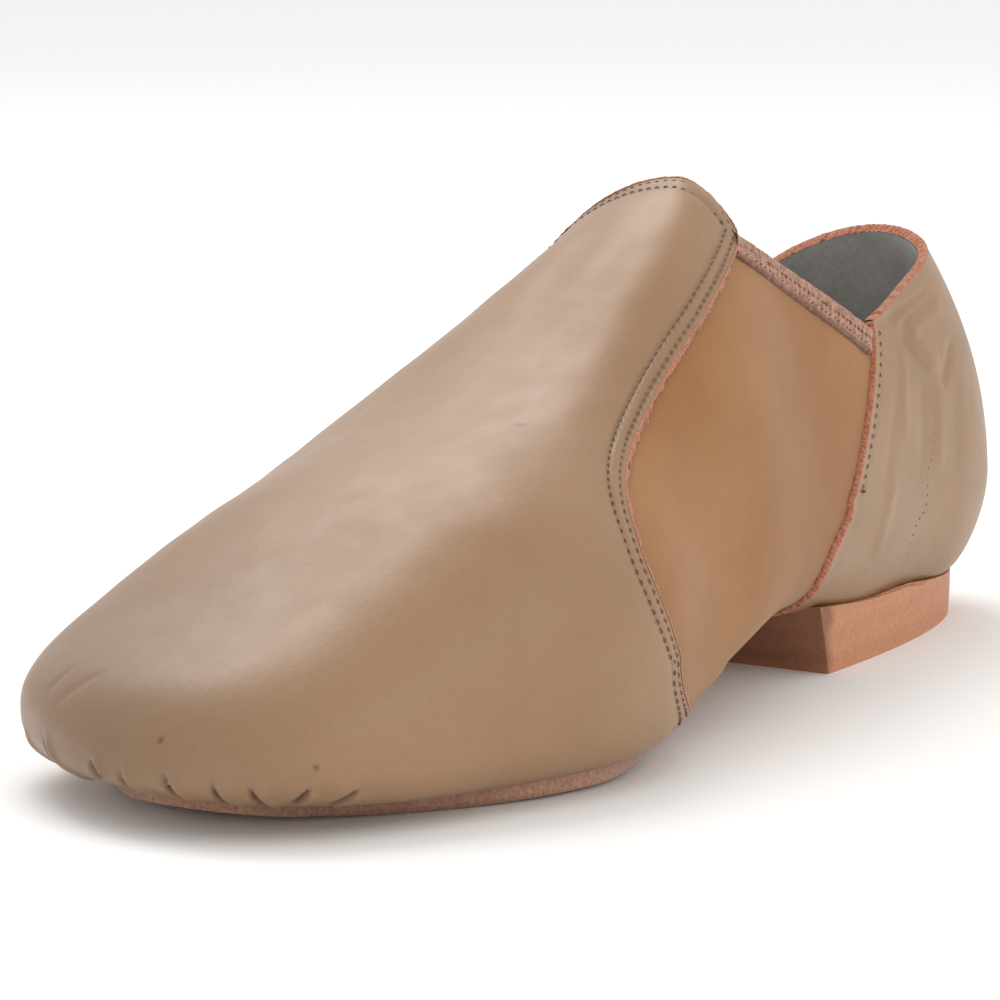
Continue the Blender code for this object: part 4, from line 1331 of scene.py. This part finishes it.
def build_vamp_edge(outline, raw, outer_thread, inner_thread):
    """The vamp's cut edge, deeper over the tongue, where the whole wall ends, with its fibres and its two
    rows of stitches."""
    points, _, across, normal = curve_frame(*outline)
    sign = towards_back(across)
    outward = sign * across
    angle = np.degrees(np.abs(outline[1]))
    tongue = smoothstep((TONGUE_END - angle) / 3)
    depth = (PANEL_STEP + 0.25 * MM) * (1 - tongue) + (WALL - 0.1 * MM) * tongue
    cut_edge("vamp_raw_edge", points, outward, normal, depth, raw, slant=0.65 * (1 - tongue))
    keep = (angle > 34) & (angle < 150)
    for side, chosen in (("medial", keep & (outline[1] > 0)), ("lateral", keep & (outline[1] < 0))):
        fibres("vamp_fibres_" + side, points[chosen], outward[chosen], normal[chosen], 700, raw, 41, 0.75)
    seen = slice(int(len(outline[0]) * 0.02), int(len(outline[0]) * 0.98))
    for name, place, look in (("outer", OUTER_ROW, outer_thread), ("inner", INNER_ROW, inner_thread)):
        row = inset(outline[0][seen], outline[1][seen], -sign * place)
        stitches("vamp_stitches_" + name, *row, 1.75, 1.0, look)


def build_quarter_edge(side, label, raw, yarn, knot_yarn):
    """The quarter's front edge with its fibres, a row of stitches down to the widest line, and the knot
    that ends it."""
    line = seam(QUARTER_EDGE, side)
    points, _, across, normal = curve_frame(*line)
    sign = towards_back(across)
    outward = -sign * across
    cut_edge("quarter_raw_edge_" + label, points, outward, normal, PANEL_STEP + 0.25 * MM, raw,
             seed=6 + side, slant=0.55)
    shown = slice(10, 420)
    fibres("quarter_fibres_" + label, points[shown], outward[shown], normal[shown], 240, raw, 50 + side)
    end = np.argmax(np.abs(line[1]) > math.radians(QUARTER_ROW_END))
    row = inset(line[0][12:end], line[1][12:end], sign * QUARTER_ROW)
    stitches("quarter_stitches_" + label, *row, 1.9, 0.9, yarn, radius=0.11)
    knot = [row[0][-3:-2] + 0.0016, row[1][-3:-2]]
    points, forward, across, normal = curve_frame(*[np.repeat(v, 3) + [-1e-4, 0, 1e-4] for v in knot])
    threads("quarter_knot_" + label, points[1:2], forward[1:2], across[1:2], normal[1:2], 1.0, knot_yarn,
            0.05, 0.30)


def build_seat_row(yarn):
    """The second row of stitches on the inner side, down to the seat."""
    way = np.linspace(0, 1, 400)
    table = np.array(SEAT_ROW)
    at = soften(np.interp(way, table[:, 0], table[:, 2]), 30)
    angle = soften(np.interp(way, table[:, 0], table[:, 1]), 30)
    row = resample(at, np.radians(angle), 400)
    stitches("quarter_second_row", *row, 1.7, 0.6, yarn, lift=-0.02, radius=0.11)


def build_collar_edge(raw):
    """The collar's cut edge from one side of the quarter round the back to the other, through the whole
    wall, with points evenly spaced along it."""
    halves = [quarter_grid(side, 5, 160) for side in (1, -1)]
    at, angle = (np.concatenate([halves[0][k][0], halves[1][k][0][-2::-1]]) for k in (0, 1))
    rim = last(at, angle)
    rim_normal = normal_at(at, angle)
    rim_normal[159] = unit(rim_normal[159] * [0, 1, 1])
    way = travelled(rim)
    even = np.linspace(0, way[-1], 700)
    points = np.stack([np.interp(even, way, rim[:, i]) for i in range(3)], -1)
    normal = unit(np.stack([np.interp(even, way, rim_normal[:, i]) for i in range(3)], -1))
    upward = np.cross(normal, unit(np.gradient(points, axis=0)))
    upward *= np.sign(upward[350, 2])
    cut_edge("collar_raw_edge", points, upward, normal, WALL - 0.1 * MM, raw, 0.15, 15)
    fibres("collar_fibres", points[5:-5], upward[5:-5], normal[5:-5], 260, raw, 61, 0.4)


def build_shoe():
    """Every piece of the shoe, with the materials that they share."""
    leather = full_grain_leather()
    raw = raw_leather()
    lining = brushed_lining()
    folded = tape()
    dark_thread = thread("brown sewing thread", "7D5E47")
    soft_thread = thread("light brown sewing thread", "94735A")
    outline = vamp_outline()
    build_vamp(outline, leather)
    build_gore(gore_fabric())
    build_quarter(leather)
    build_lining(lining)
    build_vamp_edge(outline, raw, soft_thread, dark_thread)
    build_quarter_edge(1, "medial", raw, soft_thread, dark_thread)
    build_quarter_edge(-1, "lateral", raw, soft_thread, dark_thread)
    build_seat_row(soft_thread)
    build_collar_edge(raw)
    build_binding("binding_tape_medial", 1, folded, dark_thread, "binding_medial")
    build_binding("binding_tape_lateral", -1, folded, dark_thread, "binding_lateral")
    build_sole(sueded_split())
    build_heel(heel_leather())
    build_insole(lining)


build_camera()
build_studio()
build_shoe()
